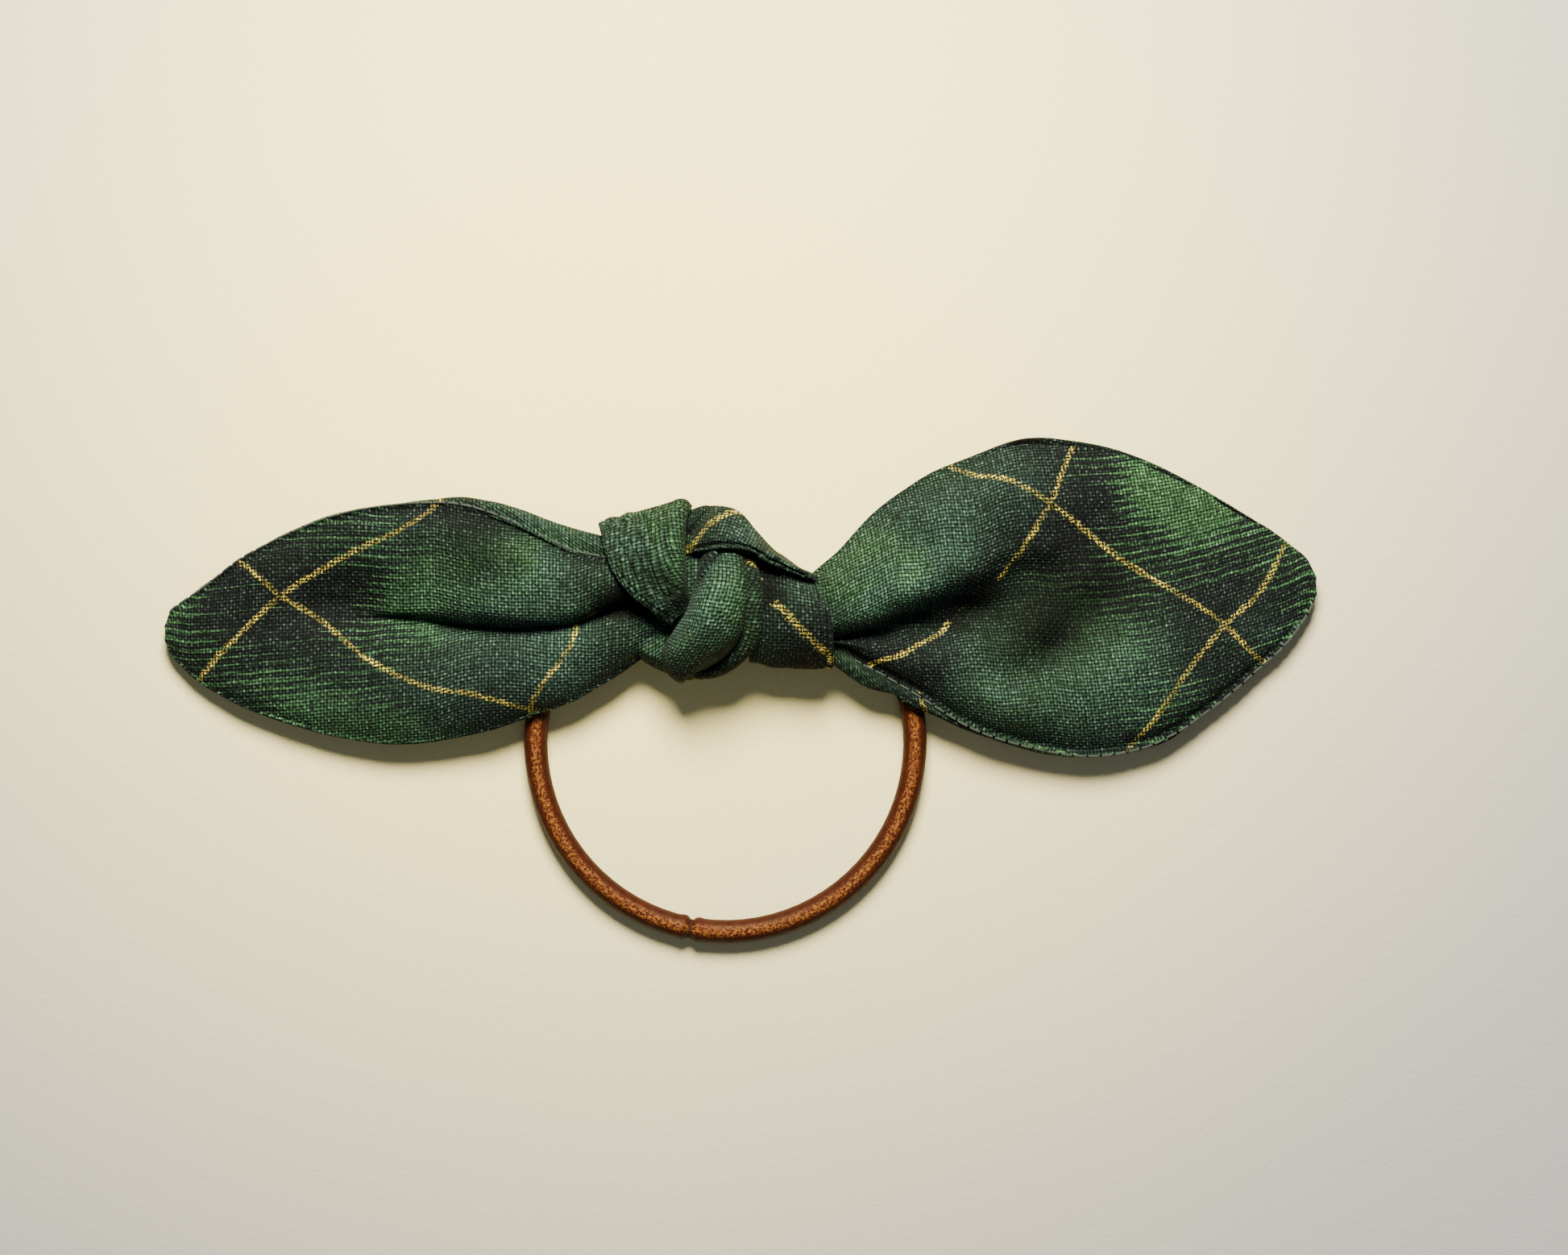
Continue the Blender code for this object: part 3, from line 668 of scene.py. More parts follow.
# Right tail. Front: seam, lower lobe, crease, upper lobe, upper edge.
rightTail = {
    "front": sections([
        (9.0, (-5.8, 4.9), (-5.4, 6.2), (-4.9, 6.8), (-4.6, 6.5), (-4.3, 5.9),
         (-3.8, 6.6), (-2.8, 7.8), (-1.2, 8.4), (0.4, 8.0), (1.6, 6.8)),
        (13.3, (-5.8, 5.2), (-5.5, 6.2), (-5.2, 6.8), (-5.0, 6.4), (-4.9, 5.7),
         (-4.7, 6.7), (-3.6, 8.6), (-0.6, 9.7), (3.0, 9.1), (5.3, 7.4)),
        (18.0, (-7.8, 4.9), (-7.2, 6.0), (-6.0, 6.7), (-4.8, 6.3), (-4.0, 5.3),
         (-3.4, 7.2), (-1.6, 9.6), (2.0, 10.3), (6.4, 9.6), (10.3, 7.2)),
        (24.0, (-11.5, 4.6), (-10.4, 5.8), (-7.6, 6.9), (-4.8, 6.4), (-2.9, 5.1),
         (-1.2, 7.3), (0.8, 9.7), (5.0, 10.4), (11.0, 9.4), (14.7, 6.8)),
        (30.0, (-15.1, 4.3), (-13.8, 5.6), (-9.6, 6.9), (-4.6, 6.2), (-0.9, 4.7),
         (1.0, 6.8), (3.2, 9.1), (8.0, 9.8), (14.0, 8.6), (17.4, 6.1)),
        (37.0, (-17.7, 3.9), (-16.1, 5.3), (-11.0, 6.9), (-5.0, 6.4), (0.8, 5.1),
         (4.0, 5.3), (6.6, 7.0), (11.0, 7.9), (16.8, 7.0), (20.1, 5.0)),
        (45.0, (-19.0, 3.4), (-17.4, 4.7), (-12.0, 6.0), (-6.0, 6.3), (-0.5, 5.8),
         (4.0, 5.3), (8.0, 5.3), (12.0, 5.6), (16.8, 5.1), (19.5, 3.9)),
        (53.0, (-17.6, 3.0), (-16.0, 4.2), (-11.4, 5.3), (-6.0, 5.6), (-1.0, 5.3),
         (3.0, 4.9), (7.0, 4.7), (11.0, 4.5), (14.9, 4.0), (17.2, 3.1)),
        (60.0, (-13.2, 2.6), (-12.0, 3.6), (-8.6, 4.4), (-4.4, 4.7), (-0.6, 4.6),
         (2.6, 4.3), (5.6, 4.0), (8.6, 3.7), (11.5, 3.2), (13.5, 2.5)),
        (66.0, (-8.2, 2.2), (-7.3, 3.0), (-5.0, 3.6), (-2.4, 3.8), (0.0, 3.7),
         (2.2, 3.5), (4.4, 3.3), (6.6, 3.0), (8.7, 2.6), (10.0, 2.1)),
        (70.3, (-4.0, 2.0), (-3.3, 2.5), (-1.9, 2.8), (-0.4, 2.9), (1.0, 2.9),
         (2.3, 2.8), (3.7, 2.7), (5.0, 2.5), (6.2, 2.2), (7.0, 1.9)),
        (72.5, (-1.0, 1.9), (-0.5, 2.2), (0.4, 2.4), (1.1, 2.4), (1.8, 2.4),
         (2.5, 2.4), (3.2, 2.4), (3.9, 2.3), (4.6, 2.1), (5.0, 1.9)),
        (73.6, (0.8, 1.9), (1.0, 2.0), (1.3, 2.1), (1.5, 2.1), (1.7, 2.1),
         (1.9, 2.1), (2.2, 2.1), (2.5, 2.1), (2.8, 2.0), (3.0, 1.9)),
    ]),
    "backMiddles": [
        [(0.8, 5.0), (-2.5, 4.5), (-6.0, 4.4), (-6.8, 4.7), (-6.5, 5.2)],
        [(3.9, 5.2), (-1.5, 4.5), (-6.9, 4.4), (-8.0, 4.8), (-7.2, 5.6)],
        [(8.2, 5.0), (0.0, 4.3), (-9.6, 4.2), (-10.8, 4.7), (-9.6, 5.6)],
        [(12.0, 4.7), (0.5, 4.2), (-12.4, 4.0), (-13.6, 4.3), (-12.8, 5.1)],
        [(14.5, 4.2), (0.5, 3.8), (-15.0, 3.4), (-16.2, 3.7), (-15.9, 4.5)],
        [(16.5, 3.4), (1.0, 3.1), (-16.8, 2.8), (-18.4, 3.2), (-18.3, 3.9)],
        [(16.0, 2.6), (0.0, 2.3), (-17.6, 2.3), (-19.3, 2.8), (-19.3, 3.3)],
        [(14.2, 2.1), (0.0, 1.8), (-15.8, 1.9), (-17.6, 2.5), (-17.7, 2.8)],
        [(11.2, 1.7), (0.0, 1.5), (-11.6, 1.7), (-13.1, 2.2), (-13.2, 2.4)],
        [(8.4, 1.5), (1.0, 1.3), (-6.9, 1.6), (-8.1, 1.9), (-8.2, 2.1)],
        [(6.1, 1.5), (1.5, 1.4), (-3.2, 1.5), (-3.9, 1.8), (-4.0, 1.9)],
        [(4.5, 1.6), (1.9, 1.5), (-0.6, 1.6), (-0.9, 1.7), (-1.0, 1.8)],
        [(2.8, 1.75), (1.9, 1.7), (1.0, 1.7), (0.9, 1.75), (0.8, 1.8)],
    ],
    "plaid": [
        (27.5, 16.5, -0.50, 0.0), (40.0, 12.0, 0.0, 0.0), (50.0, 4.5, 0.46, 0.0),
        (62.0, -3.0, 1.0, 0.0), (66.0, -7.0, 1.2, 0.0), (43.5, 20.0, 0.0, 0.32),
        (36.0, 5.5, 0.0, -0.28), (29.0, -1.5, 0.0, -0.62), (23.0, -6.0, 0.0, -0.78),
        (19.0, -7.5, 0.0, -0.88), (69.7, 7.0, 1.0, 0.47), (66.0, 0.5, 1.0, 0.2),
        (56.0, -10.5, 1.0, -0.36), (51.0, -17.5, 1.0, -0.67), (35.0, -12.0, 0.45, -0.62),
        (22.0, 6.0, -0.5, -0.35), (14.5, -6.0, -0.25, -0.90), (13.0, 3.0, -0.6, -0.6),
    ],
    # painted shade in the fold valley and on the upper lobe's flank, painted light on the lit lobe,
    # with the print's own lighter, darker and teal patches
    "spots": [
        (45.0, 0.0, 6.0, -2.3, -0.2), (38.5, -4.5, 5.0, -1.7, 0.0), (33.0, 1.6, 2.0, -2.1, 0.0),
        (30.6, -0.6, 2.0, -1.7, 0.0), (28.2, -2.3, 1.7, -2.0, 0.0), (27.5, 1.2, 1.6, 0.6, 0.0),
        (17.5, -1.4, 3.0, 0.9, 0.0), (23.5, 1.8, 3.0, 0.9, 0.0), (29.5, 5.0, 3.0, 0.8, 0.0),
        (40.5, -2.0, 4.0, -0.7, 0.0), (51.0, -8.0, 6.0, 0.6, 1.0), (45.0, -13.5, 6.0, 0.2, 0.9),
        (34.0, -12.5, 4.5, 0.3, 0.0), (29.0, -7.5, 4.0, 0.7, 0.0), (28.0, 10.0, 5.0, 0.6, 0.7),
        (20.0, 3.0, 5.0, 0.4, 0.1), (57.0, 12.0, 5.0, -0.3, 0.0), (36.0, 14.5, 5.0, 0.3, 0.6),
        (24.0, -1.0, 4.0, 0.2, 0.0), (19.0, -5.5, 4.0, -0.3, 0.0), (66.0, -4.0, 5.0, 0.2, 0.3),
    ],
    # painted shade on the back panel beside the front's edges, with darker teal patches of the print
    "backSpots": [
        (18.0, -9.0, 6.0, -0.9, 0.4), (30.0, -16.0, 8.0, -0.5, 0.5), (36.9, 19.6, 1.6, -5.0, 0.0),
        (62.2, 12.2, 1.6, -5.0, 0.0),
    ],
    "backPlaid": [(25.5, -12.1, 0.0, 0.5), (45.0, -19.3, 0.77, 0.5)],
    "turn": 9.0,
    "dents": [
        (48.0, 1.0, 41.0, -6.0, 1.3, 3.0), (41.0, -6.0, 36.0, -9.5, 0.9, 2.4),
        (31.0, -12.0, 37.0, -14.0, -0.6, 2.8), (46.0, -11.0, 54.0, -6.0, -0.7, 3.6),
        (26.0, -7.5, 32.0, -6.0, -0.5, 2.4), (33.0, 3.0, 40.0, 6.5, -0.5, 2.6),
    ],
    "lines": [("start", 0.0, 0.55, 0.34), ("end", 0.0, 0.15, 0.3)],
    "backLines": [("end", 0.0, 0.45, 0.34)],
    "joint": "right_tail_flex",
    "bendFrom": 1.6,
    "bendTo": 6.5,
    "seed": 13.0,
    "backSeed": 24.0,
}


# the seam's stitches, in mm
stitches = {
    "length": 1.7,
    "gap": 0.35,
    "radius": 0.13,
    "arch": 0.06,
    "points": 5,
}


def seamLine(name, line):
    # stitches that pull the two panels together, one short thread after another
    t = stitches
    lengths = lengthsAlong(line)
    curve = bpy.data.curves.new(name, "CURVE")
    curve.dimensions = "3D"
    curve.bevel_depth = t["radius"] * mm
    curve.bevel_resolution = 2
    curve.use_fill_caps = True
    arch = np.sin(np.linspace(0, math.pi, t["points"])) * t["arch"]
    start = 0.0
    while start + t["length"] < lengths[-1]:
        at = np.linspace(start, start + t["length"] - t["gap"], t["points"])
        spline = curve.splines.new("POLY")
        spline.points.add(t["points"] - 1)
        for k, place in enumerate(at):
            x, y, z = (np.interp(place, lengths, line[:, axis]) for axis in range(3))
            spline.points[k].co = (x * mm, y * mm, (z + arch[k]) * mm, 1.0)
        start += t["length"]
    drawn = linked(name, curve)
    drawn.data.materials.append(threadLook)
    bpy.context.view_layer.update()
    evaluated = drawn.evaluated_get(bpy.context.evaluated_depsgraph_get())
    mesh = bpy.data.meshes.new_from_object(evaluated)
    bpy.data.objects.remove(drawn)
    made = linked(name, mesh)
    return made


def makeTail(side, settings):
    body = side + "_tail"
    hinge = Vector(joint(settings["joint"])["pos_m"])
    out = -1.0 if side == "left" else 1.0
    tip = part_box(body + "_front_panel")[0 if side == "left" else 1].x / mm
    drawnTip = settings["front"][-1][0][0]

    def fit(grid):
        # the tail's length follows the frame, measured from its hinge
        x = grid[..., 0]
        hingeX = hinge.x / mm
        beyond = (x - hingeX) * out > 0
        grid = grid.copy()
        fitted = hingeX + (x - hingeX) * (tip - hingeX) / (drawnTip - hingeX)
        grid[..., 0] = np.where(beyond, fitted, x)
        return grid

    shared = {
        "along": 300,
        "wrinkles": tailWrinkles,
        "fit": fit,
        "mirrored": side == "right",
        "turn": settings.get("turn", 0),
    }
    front, grid = clothPiece(
        side + "FrontPanel",
        {
            **shared,
            "sections": settings["front"],
            "across": 180,
            "plaid": settings["plaid"],
            "dents": settings["dents"],
            "lines": settings["lines"],
            "spots": settings["spots"],
            "seed": settings["seed"],
        },
    )
    back, _ = clothPiece(
        side + "BackPanel",
        {
            **shared,
            "sections": backSections(settings["front"], settings["backMiddles"]),
            "across": 150,
            "plaid": settings["backPlaid"],
            "dents": [],
            "lines": settings["backLines"],
            "spots": settings["backSpots"],
            "seed": settings["backSeed"],
        },
    )
    seam = seamLine(side + "Seam", grid[:, -1 if side == "left" else 0])
    start = (hinge.x - out * settings["bendFrom"] * mm, 0, hinge.z)
    end = (hinge.x + out * settings["bendTo"] * mm, 0, hinge.z)
    for piece in (front, back, seam):
        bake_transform(piece)
    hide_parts(body + "_front_panel", side + "_neck")
    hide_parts(body + "_back_panel")
    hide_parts(body + "_seam_allowance", body + "_seam_thread")
    print(side, "tail made")
    return front, back, seam


knotWrinkles = {"long": 9.0, "wide": 2.6, "soft": 0.28, "fine": 0.06, "pucker": 0.05}

# Knot: each turn is drawn by rails that run along the strip, from where it comes out to where
# it tucks in. The flat sizes of its cloth are in metres.
# the turns' spots paint shade into pits, gaps and edges tucked under other turns, and painted light
# along lit fold edges, besides the print's own tone
knotTurns = {
    "leftFold": {
        "rails": [
            [(-15.0, 7.0, 5.2), (-15.5, 9.3, 7.4), (-15.0, 7.6, 9.2), (-14.3, 5.4, 9.9),
             (-13.1, 2.8, 10.3), (-11.2, 0.5, 10.4), (-9.0, -1.2, 10.1), (-6.4, -2.9, 9.0)],
            [(-14.2, 7.2, 5.4), (-14.6, 9.6, 8.0), (-14.1, 7.8, 9.9), (-13.4, 5.6, 10.7),
             (-12.3, 3.1, 11.1), (-10.5, 0.9, 11.2), (-8.5, -0.8, 10.8), (-6.2, -2.5, 9.5)],
            [(-12.2, 7.6, 5.4), (-12.4, 10.1, 8.4), (-12.0, 8.2, 10.6), (-11.4, 6.0, 11.4),
             (-10.5, 3.4, 11.7), (-9.2, 1.3, 11.6), (-7.6, -0.5, 11.1), (-5.9, -2.2, 9.8)],
            [(-9.6, 8.2, 5.6), (-9.6, 10.9, 8.8), (-9.3, 8.9, 11.0), (-8.9, 6.4, 11.9),
             (-8.2, 3.8, 12.1), (-7.4, 1.6, 11.8), (-6.5, -0.3, 11.1), (-5.5, -1.9, 9.8)],
            [(-7.2, 8.8, 5.8), (-7.0, 11.7, 9.0), (-7.0, 9.6, 11.4), (-6.8, 7.2, 12.3),
             (-6.5, 4.4, 12.4), (-6.1, 2.0, 11.9), (-5.6, 0.1, 11.0), (-5.0, -1.6, 9.6)],
            [(-5.4, 9.0, 5.8), (-5.2, 12.0, 8.8), (-5.6, 9.6, 11.0), (-5.8, 7.2, 11.7),
             (-5.6, 4.5, 11.7), (-5.4, 2.2, 11.2), (-5.1, 0.4, 10.3), (-4.7, -1.2, 9.0)],
            [(-4.4, 8.8, 5.6), (-4.3, 11.4, 7.8), (-4.9, 9.2, 9.4), (-5.1, 6.9, 10.0),
             (-5.0, 4.3, 10.0), (-4.8, 2.0, 9.6), (-4.6, 0.4, 9.0), (-4.4, -1.0, 8.2)],
        ],
        "plaid": [(-11.0, 6.0, 0.50, 0.42), (-7.0, -1.0, 0.72, 0.52)],
        "spots": [
            (-5.6, 0.4, 1.6, -3.0, 0.0), (-8.0, 2.4, 1.5, -1.5, 0.0), (-10.2, 4.4, 1.4, -0.5, 0.0),
            (-7.2, 5.4, 1.2, 0.6, 0.0), (-6.5, 3.2, 0.9, 0.5, 0.0), (-8.6, -1.4, 1.0, 0.7, 0.0),
            (-14.5, 6.4, 0.9, 0.5, 0.2), (-13.4, 4.0, 0.9, 0.6, 0.2), (-12.2, 2.0, 0.9, 0.6, 0.2),
            (-10.6, 0.0, 0.9, 0.7, 0.1), (-11.2, 3.4, 1.2, -0.6, 0.0),
        ],
        "flat": (0.0125, 0.022),
        "lines": [("start", 0.95, 0.30, 0.16)],
        "dents": [
            (-13.6, 8.4, -9.4, 0.2, 0.30, 0.30), (-12.4, 9.2, -8.3, 0.0, 0.42, 0.32),
            (-11.2, 9.6, -7.4, 0.2, 0.34, 0.30), (-9.9, 10.0, -6.7, 0.4, 0.48, 0.32),
            (-8.6, 10.3, -6.1, 0.8, 0.36, 0.30), (-7.4, 10.6, -5.7, 1.2, 0.42, 0.28),
        ],
        "wrinkles": {"long": 14.0, "wide": 1.5, "soft": 0.30, "fine": 0.07, "pucker": 0.02},
        "replaces": ["knot_left_fold"],
        "seed": 21.0,
    },
    "topFold": {
        "rails": [
            [(-4.4, 9.0, 6.2), (-2.0, 9.4, 6.4), (1.0, 9.2, 6.4), (3.6, 7.2, 6.4),
             (6.0, 5.0, 6.4), (8.6, 3.4, 6.4), (11.0, 2.2, 6.4)],
            [(-4.3, 11.1, 7.4), (-1.9, 11.6, 9.0), (1.5, 11.0, 9.0), (4.0, 8.3, 8.8),
             (6.4, 6.0, 8.6), (8.8, 4.3, 8.2), (11.3, 3.0, 7.8)],
            [(-4.6, 9.4, 8.8), (-2.0, 10.0, 11.2), (1.2, 9.8, 11.3), (3.8, 7.8, 11.0),
             (6.1, 5.8, 10.6), (8.6, 4.3, 10.0), (11.3, 3.0, 8.9)],
            [(-5.0, 7.4, 9.3), (-2.3, 8.1, 12.1), (0.6, 8.3, 12.3), (3.5, 7.0, 12.1),
             (5.9, 5.4, 11.7), (8.4, 4.1, 11.0), (11.2, 2.8, 9.6)],
            [(-5.2, 6.2, 9.2), (-2.4, 6.8, 12.2), (0.2, 7.1, 12.6), (3.2, 6.5, 12.5),
             (5.8, 5.1, 12.1), (8.3, 3.9, 11.4), (11.1, 2.7, 9.9)],
            [(-5.2, 5.9, 9.0), (-2.4, 6.4, 11.8), (0.2, 6.7, 12.2), (3.2, 6.2, 12.1),
             (5.8, 4.8, 11.7), (8.3, 3.6, 11.0), (11.1, 2.5, 9.6)],
            [(-5.1, 5.6, 9.0), (-2.3, 6.0, 11.9), (0.2, 6.3, 12.3), (3.3, 5.9, 12.2),
             (5.8, 4.4, 11.8), (8.3, 3.3, 11.1), (11.1, 2.3, 9.6)],
            [(-5.0, 5.4, 8.4), (-2.2, 5.8, 11.2), (0.3, 6.1, 11.6), (3.3, 5.7, 11.5),
             (5.8, 4.2, 11.1), (8.3, 3.1, 10.4), (11.0, 2.2, 9.1)],
            [(-4.9, 5.8, 7.9), (-2.1, 6.2, 10.4), (0.3, 6.6, 10.7), (3.3, 6.1, 10.6),
             (5.8, 4.6, 10.3), (8.2, 3.5, 9.7), (10.9, 2.5, 8.6)],
        ],
        "plaid": [(1.1, 10.6, 0.0, 0.30), (-4.2, 6.4, 0.0, 0.55)],
        "spots": [(-4.8, 8.8, 1.0, -1.8, 0.0), (3.0, 8.4, 3.0, 0.5, 0.8), (8.0, 4.6, 2.5, 0.4, 0.5)],
        "dents": [(-1.8, 11.2, -4.2, 8.0, 1.1, 0.50), (-1.2, 9.4, -3.2, 7.6, -0.20, 0.6)],
        "flat": (0.0115, 0.0185),
        "replaces": ["knot_top_fold"],
        "seed": 33.0,
    },
    "centreBand": {
        "rails": [
            [(-2.4, 6.2, 9.6), (-2.8, 4.2, 9.9), (-3.6, 1.6, 9.7), (-4.3, -0.8, 9.2),
             (-5.8, -3.6, 8.5), (-7.3, -6.0, 7.2), (-7.2, -8.0, 5.2), (-6.6, -8.2, 4.2)],
            [(-1.8, 6.2, 10.6), (-2.3, 4.3, 11.3), (-3.1, 1.8, 11.2), (-3.9, -0.8, 10.8),
             (-5.3, -3.7, 10.0), (-6.9, -6.3, 8.8), (-6.9, -8.6, 6.2), (-6.3, -8.9, 4.4)],
            [(-0.9, 6.1, 10.9), (-1.4, 4.3, 12.2), (-2.2, 1.9, 12.8), (-3.0, -0.8, 12.8),
             (-4.2, -3.9, 11.9), (-5.9, -6.8, 10.2), (-6.3, -9.3, 7.0), (-5.9, -9.7, 4.6)],
            [(0.2, 6.0, 11.0), (-0.2, 4.3, 12.6), (-1.0, 1.9, 13.8), (-1.9, -0.9, 14.1),
             (-3.1, -4.1, 13.2), (-4.4, -7.0, 10.9), (-5.5, -9.7, 7.2), (-5.5, -10.1, 4.6)],
            [(1.2, 5.8, 10.9), (1.0, 4.2, 12.4), (0.6, 1.8, 13.6), (-0.1, -1.1, 13.9),
             (-1.1, -4.2, 12.9), (-2.5, -6.9, 10.8), (-4.7, -9.4, 7.2), (-5.2, -9.9, 4.6)],
            [(1.9, 5.4, 10.5), (1.9, 3.9, 11.9), (1.9, 1.6, 12.8), (1.5, -1.3, 13.0),
             (0.8, -4.3, 12.0), (-0.8, -6.6, 10.3), (-3.6, -8.6, 7.4), (-4.8, -9.5, 4.8)],
            [(2.2, 5.1, 9.9), (2.4, 3.7, 11.0), (2.5, 1.5, 11.8), (2.2, -1.4, 11.9),
             (1.7, -4.4, 10.9), (0.2, -6.5, 9.3), (-2.8, -8.3, 6.8), (-4.6, -9.3, 4.7)],
            [(2.5, 4.9, 9.3), (2.7, 3.6, 10.0), (2.8, 1.4, 10.5), (2.6, -1.5, 10.5),
             (2.1, -4.6, 9.5), (0.5, -6.8, 7.9), (-2.6, -8.6, 5.8), (-4.6, -9.5, 4.3)],
            [(2.8, 4.8, 9.9), (3.1, 3.5, 10.9), (3.3, 1.3, 11.5), (3.2, -1.5, 11.5),
             (2.8, -4.8, 10.4), (1.1, -7.1, 8.7), (-2.2, -8.9, 6.4), (-4.9, -9.3, 4.3)],
            [(3.2, 4.6, 9.9), (3.7, 3.3, 10.8), (4.0, 1.2, 11.4), (3.9, -1.5, 11.4),
             (3.5, -5.0, 10.3), (1.7, -7.4, 8.6), (-1.9, -9.3, 6.0), (-4.9, -9.5, 4.1)],
            [(3.4, 4.5, 9.3), (4.0, 3.2, 10.1), (4.3, 1.2, 10.5), (4.3, -1.5, 10.5),
             (3.9, -5.1, 9.4), (2.0, -7.6, 7.8), (-1.8, -9.4, 5.3), (-4.9, -9.4, 3.9)],
            [(3.2, 4.4, 8.4), (3.8, 3.1, 9.2), (4.2, 1.1, 9.6), (4.2, -1.6, 9.5),
             (3.8, -5.0, 8.5), (1.9, -7.4, 7.0), (-1.8, -9.2, 4.8), (-4.9, -9.2, 3.8)],
        ],
        "plaid": [
            (-3.4, -9.5, 0.0, 0.40), (0.0, -8.3, 0.06, 0.45), (-5.0, -6.5, 0.30, 0.45),
            (-5.5, -9.3, 0.15, 0.4), (-1.0, -1.0, 0.52, 0.46), (-2.0, -6.5, 0.26, 0.44),
            (3.4, 4.0, 1.0, 0.50), (4.0, -1.0, 0.50, 0.50), (0.0, 4.0, 0.60, 0.40),
            (1.0, -4.5, 0.32, 0.46),
        ],
        "dents": [
            (-1.4, 5.6, -4.3, 0.6, -0.45, 0.45), (-0.6, 5.4, -3.2, 0.6, 0.45, 0.40),
            (0.9, 4.4, 0.4, 1.0, 0.15, 0.5),
        ],
        "spots": [
            (-1.0, -1.0, 4.0, 0.9, 0.0), (-4.0, -6.0, 3.0, 0.3, 0.0), (-2.2, 5.0, 1.0, -2.4, 0.0),
            (-3.1, 3.2, 1.0, -2.2, 0.0), (3.6, 2.0, 1.3, -1.3, 0.0), (3.5, -1.2, 1.3, -1.4, 0.0),
            (3.1, -4.2, 1.3, -1.2, 0.0),
        ],
        "flat": (0.0165, 0.0205),
        "replaces": ["knot_centre_band"],
        "seed": 44.0,
    },
    "rightCollar": {
        "rails": [
            [(3.0, 7.2, 7.0), (3.3, 3.6, 9.0), (3.4, 0.0, 9.8), (3.4, -3.0, 9.4),
             (3.2, -5.8, 7.8), (3.0, -7.3, 5.6), (3.0, -6.6, 4.4)],
            [(5.2, 6.2, 7.2), (5.5, 3.2, 9.6), (5.6, -0.3, 10.5), (5.6, -3.2, 10.1),
             (5.5, -6.1, 8.4), (5.3, -7.9, 5.8), (5.3, -7.2, 4.4)],
            [(8.0, 4.6, 7.2), (8.3, 2.4, 9.6), (8.5, -0.6, 10.7), (8.6, -3.4, 10.3),
             (8.5, -6.3, 8.6), (8.3, -8.2, 5.8), (8.2, -7.4, 4.4)],
            [(10.4, 3.0, 7.2), (10.7, 1.4, 9.5), (11.0, -0.9, 10.6), (11.2, -3.6, 10.3),
             (11.3, -6.4, 8.7), (11.3, -8.2, 5.8), (11.2, -7.4, 4.4)],
            [(11.4, 2.4, 7.1), (11.7, 1.0, 9.2), (12.0, -1.0, 10.3), (12.2, -3.7, 10.0),
             (12.3, -6.5, 8.5), (12.3, -8.2, 5.8), (12.2, -7.4, 4.4)],
            [(11.9, 2.2, 6.8), (12.2, 0.8, 8.8), (12.6, -1.2, 9.9), (12.9, -3.9, 9.6),
             (13.0, -6.6, 8.1), (13.0, -8.2, 5.7), (12.9, -7.4, 4.4)],
            [(11.9, 2.0, 6.2), (12.3, 0.7, 8.0), (12.7, -1.2, 9.0), (13.0, -3.9, 8.7),
             (13.1, -6.6, 7.4), (13.1, -8.0, 5.5), (13.0, -7.3, 4.4)],
        ],
        "lines": [("end", 1.0, 0.50, 0.18), ("end", 1.8, 0.28, 0.14)],
        "spots": [(5.4, 0.9, 1.9, -3.2, 0.0), (9.5, 1.5, 3.0, 0.5, 0.4)],
        "plaid": [(7.0, -1.2, 0.0, 0.62), (11.3, -5.4, 0.0, 0.84)],
        "flat": (0.0140, 0.0165),
        "replaces": ["knot_right_collar"],
        "seed": 55.0,
    },
    "backBand": {
        "rails": [
            [(-5.3, 9.6, 6.6), (-5.4, 10.0, 4.4), (-5.4, 8.6, 1.8),
             (-5.3, 5.4, 0.25), (-5.2, 0.3, 0.05), (-5.2, -4.6, 0.25),
             (-5.5, -7.4, 1.8), (-6.4, -8.8, 4.2), (-6.8, -8.6, 6.4)],
            [(-3.0, 10.0, 7.0), (-3.1, 10.6, 4.4), (-3.1, 8.9, 1.5),
             (-3.0, 5.4, 0.05), (-3.0, 0.3, 0.0), (-3.0, -4.6, 0.05),
             (-3.3, -7.8, 1.5), (-4.2, -9.6, 4.2), (-4.8, -9.4, 6.8)],
            [(-0.6, 9.6, 7.0), (-0.7, 10.2, 4.4), (-0.8, 8.7, 1.5),
             (-0.8, 5.2, 0.05), (-0.8, 0.3, 0.0), (-0.8, -4.6, 0.05),
             (-1.0, -7.6, 1.6), (-1.8, -9.0, 4.4), (-2.4, -8.8, 6.6)],
            [(1.6, 8.6, 6.6), (1.5, 9.2, 4.4), (1.4, 7.8, 1.6), (1.3, 5.0, 0.15), (1.2, 0.3, 0.0),
             (1.2, -4.4, 0.15), (1.0, -6.9, 1.7), (0.4, -8.1, 4.4), (-0.2, -7.8, 6.4)],
            [(3.0, 7.2, 6.2), (2.9, 7.8, 4.4), (2.8, 6.8, 1.9), (2.7, 4.6, 0.45), (2.6, 0.3, 0.2),
             (2.6, -4.0, 0.45), (2.5, -6.0, 1.9), (2.2, -7.0, 4.4), (1.8, -6.8, 6.2)],
        ],
        "plaid": [(-3.0, -4.0, 0.40, 0.40), (-2.0, 6.0, 0.75, 0.60)],
        "flat": (0.0100, 0.0290),
        "replaces": ["knot_back_band"],
        "seed": 66.0,
    },
    "innerTurn": {
        "rails": [
            [(-12.2, -5.8, 4.4), (-9.3, -7.8, 4.6), (-6.4, -9.1, 4.8), (-3.0, -8.6, 5.2),
             (2.0, -6.6, 5.6), (6.0, -5.8, 5.6), (10.0, -5.6, 5.4)],
            [(-12.2, -5.0, 5.6), (-9.3, -6.9, 6.4), (-6.4, -7.8, 6.6), (-3.0, -6.6, 8.2),
             (2.0, -4.6, 9.0), (6.0, -3.8, 8.6), (10.0, -3.8, 7.6)],
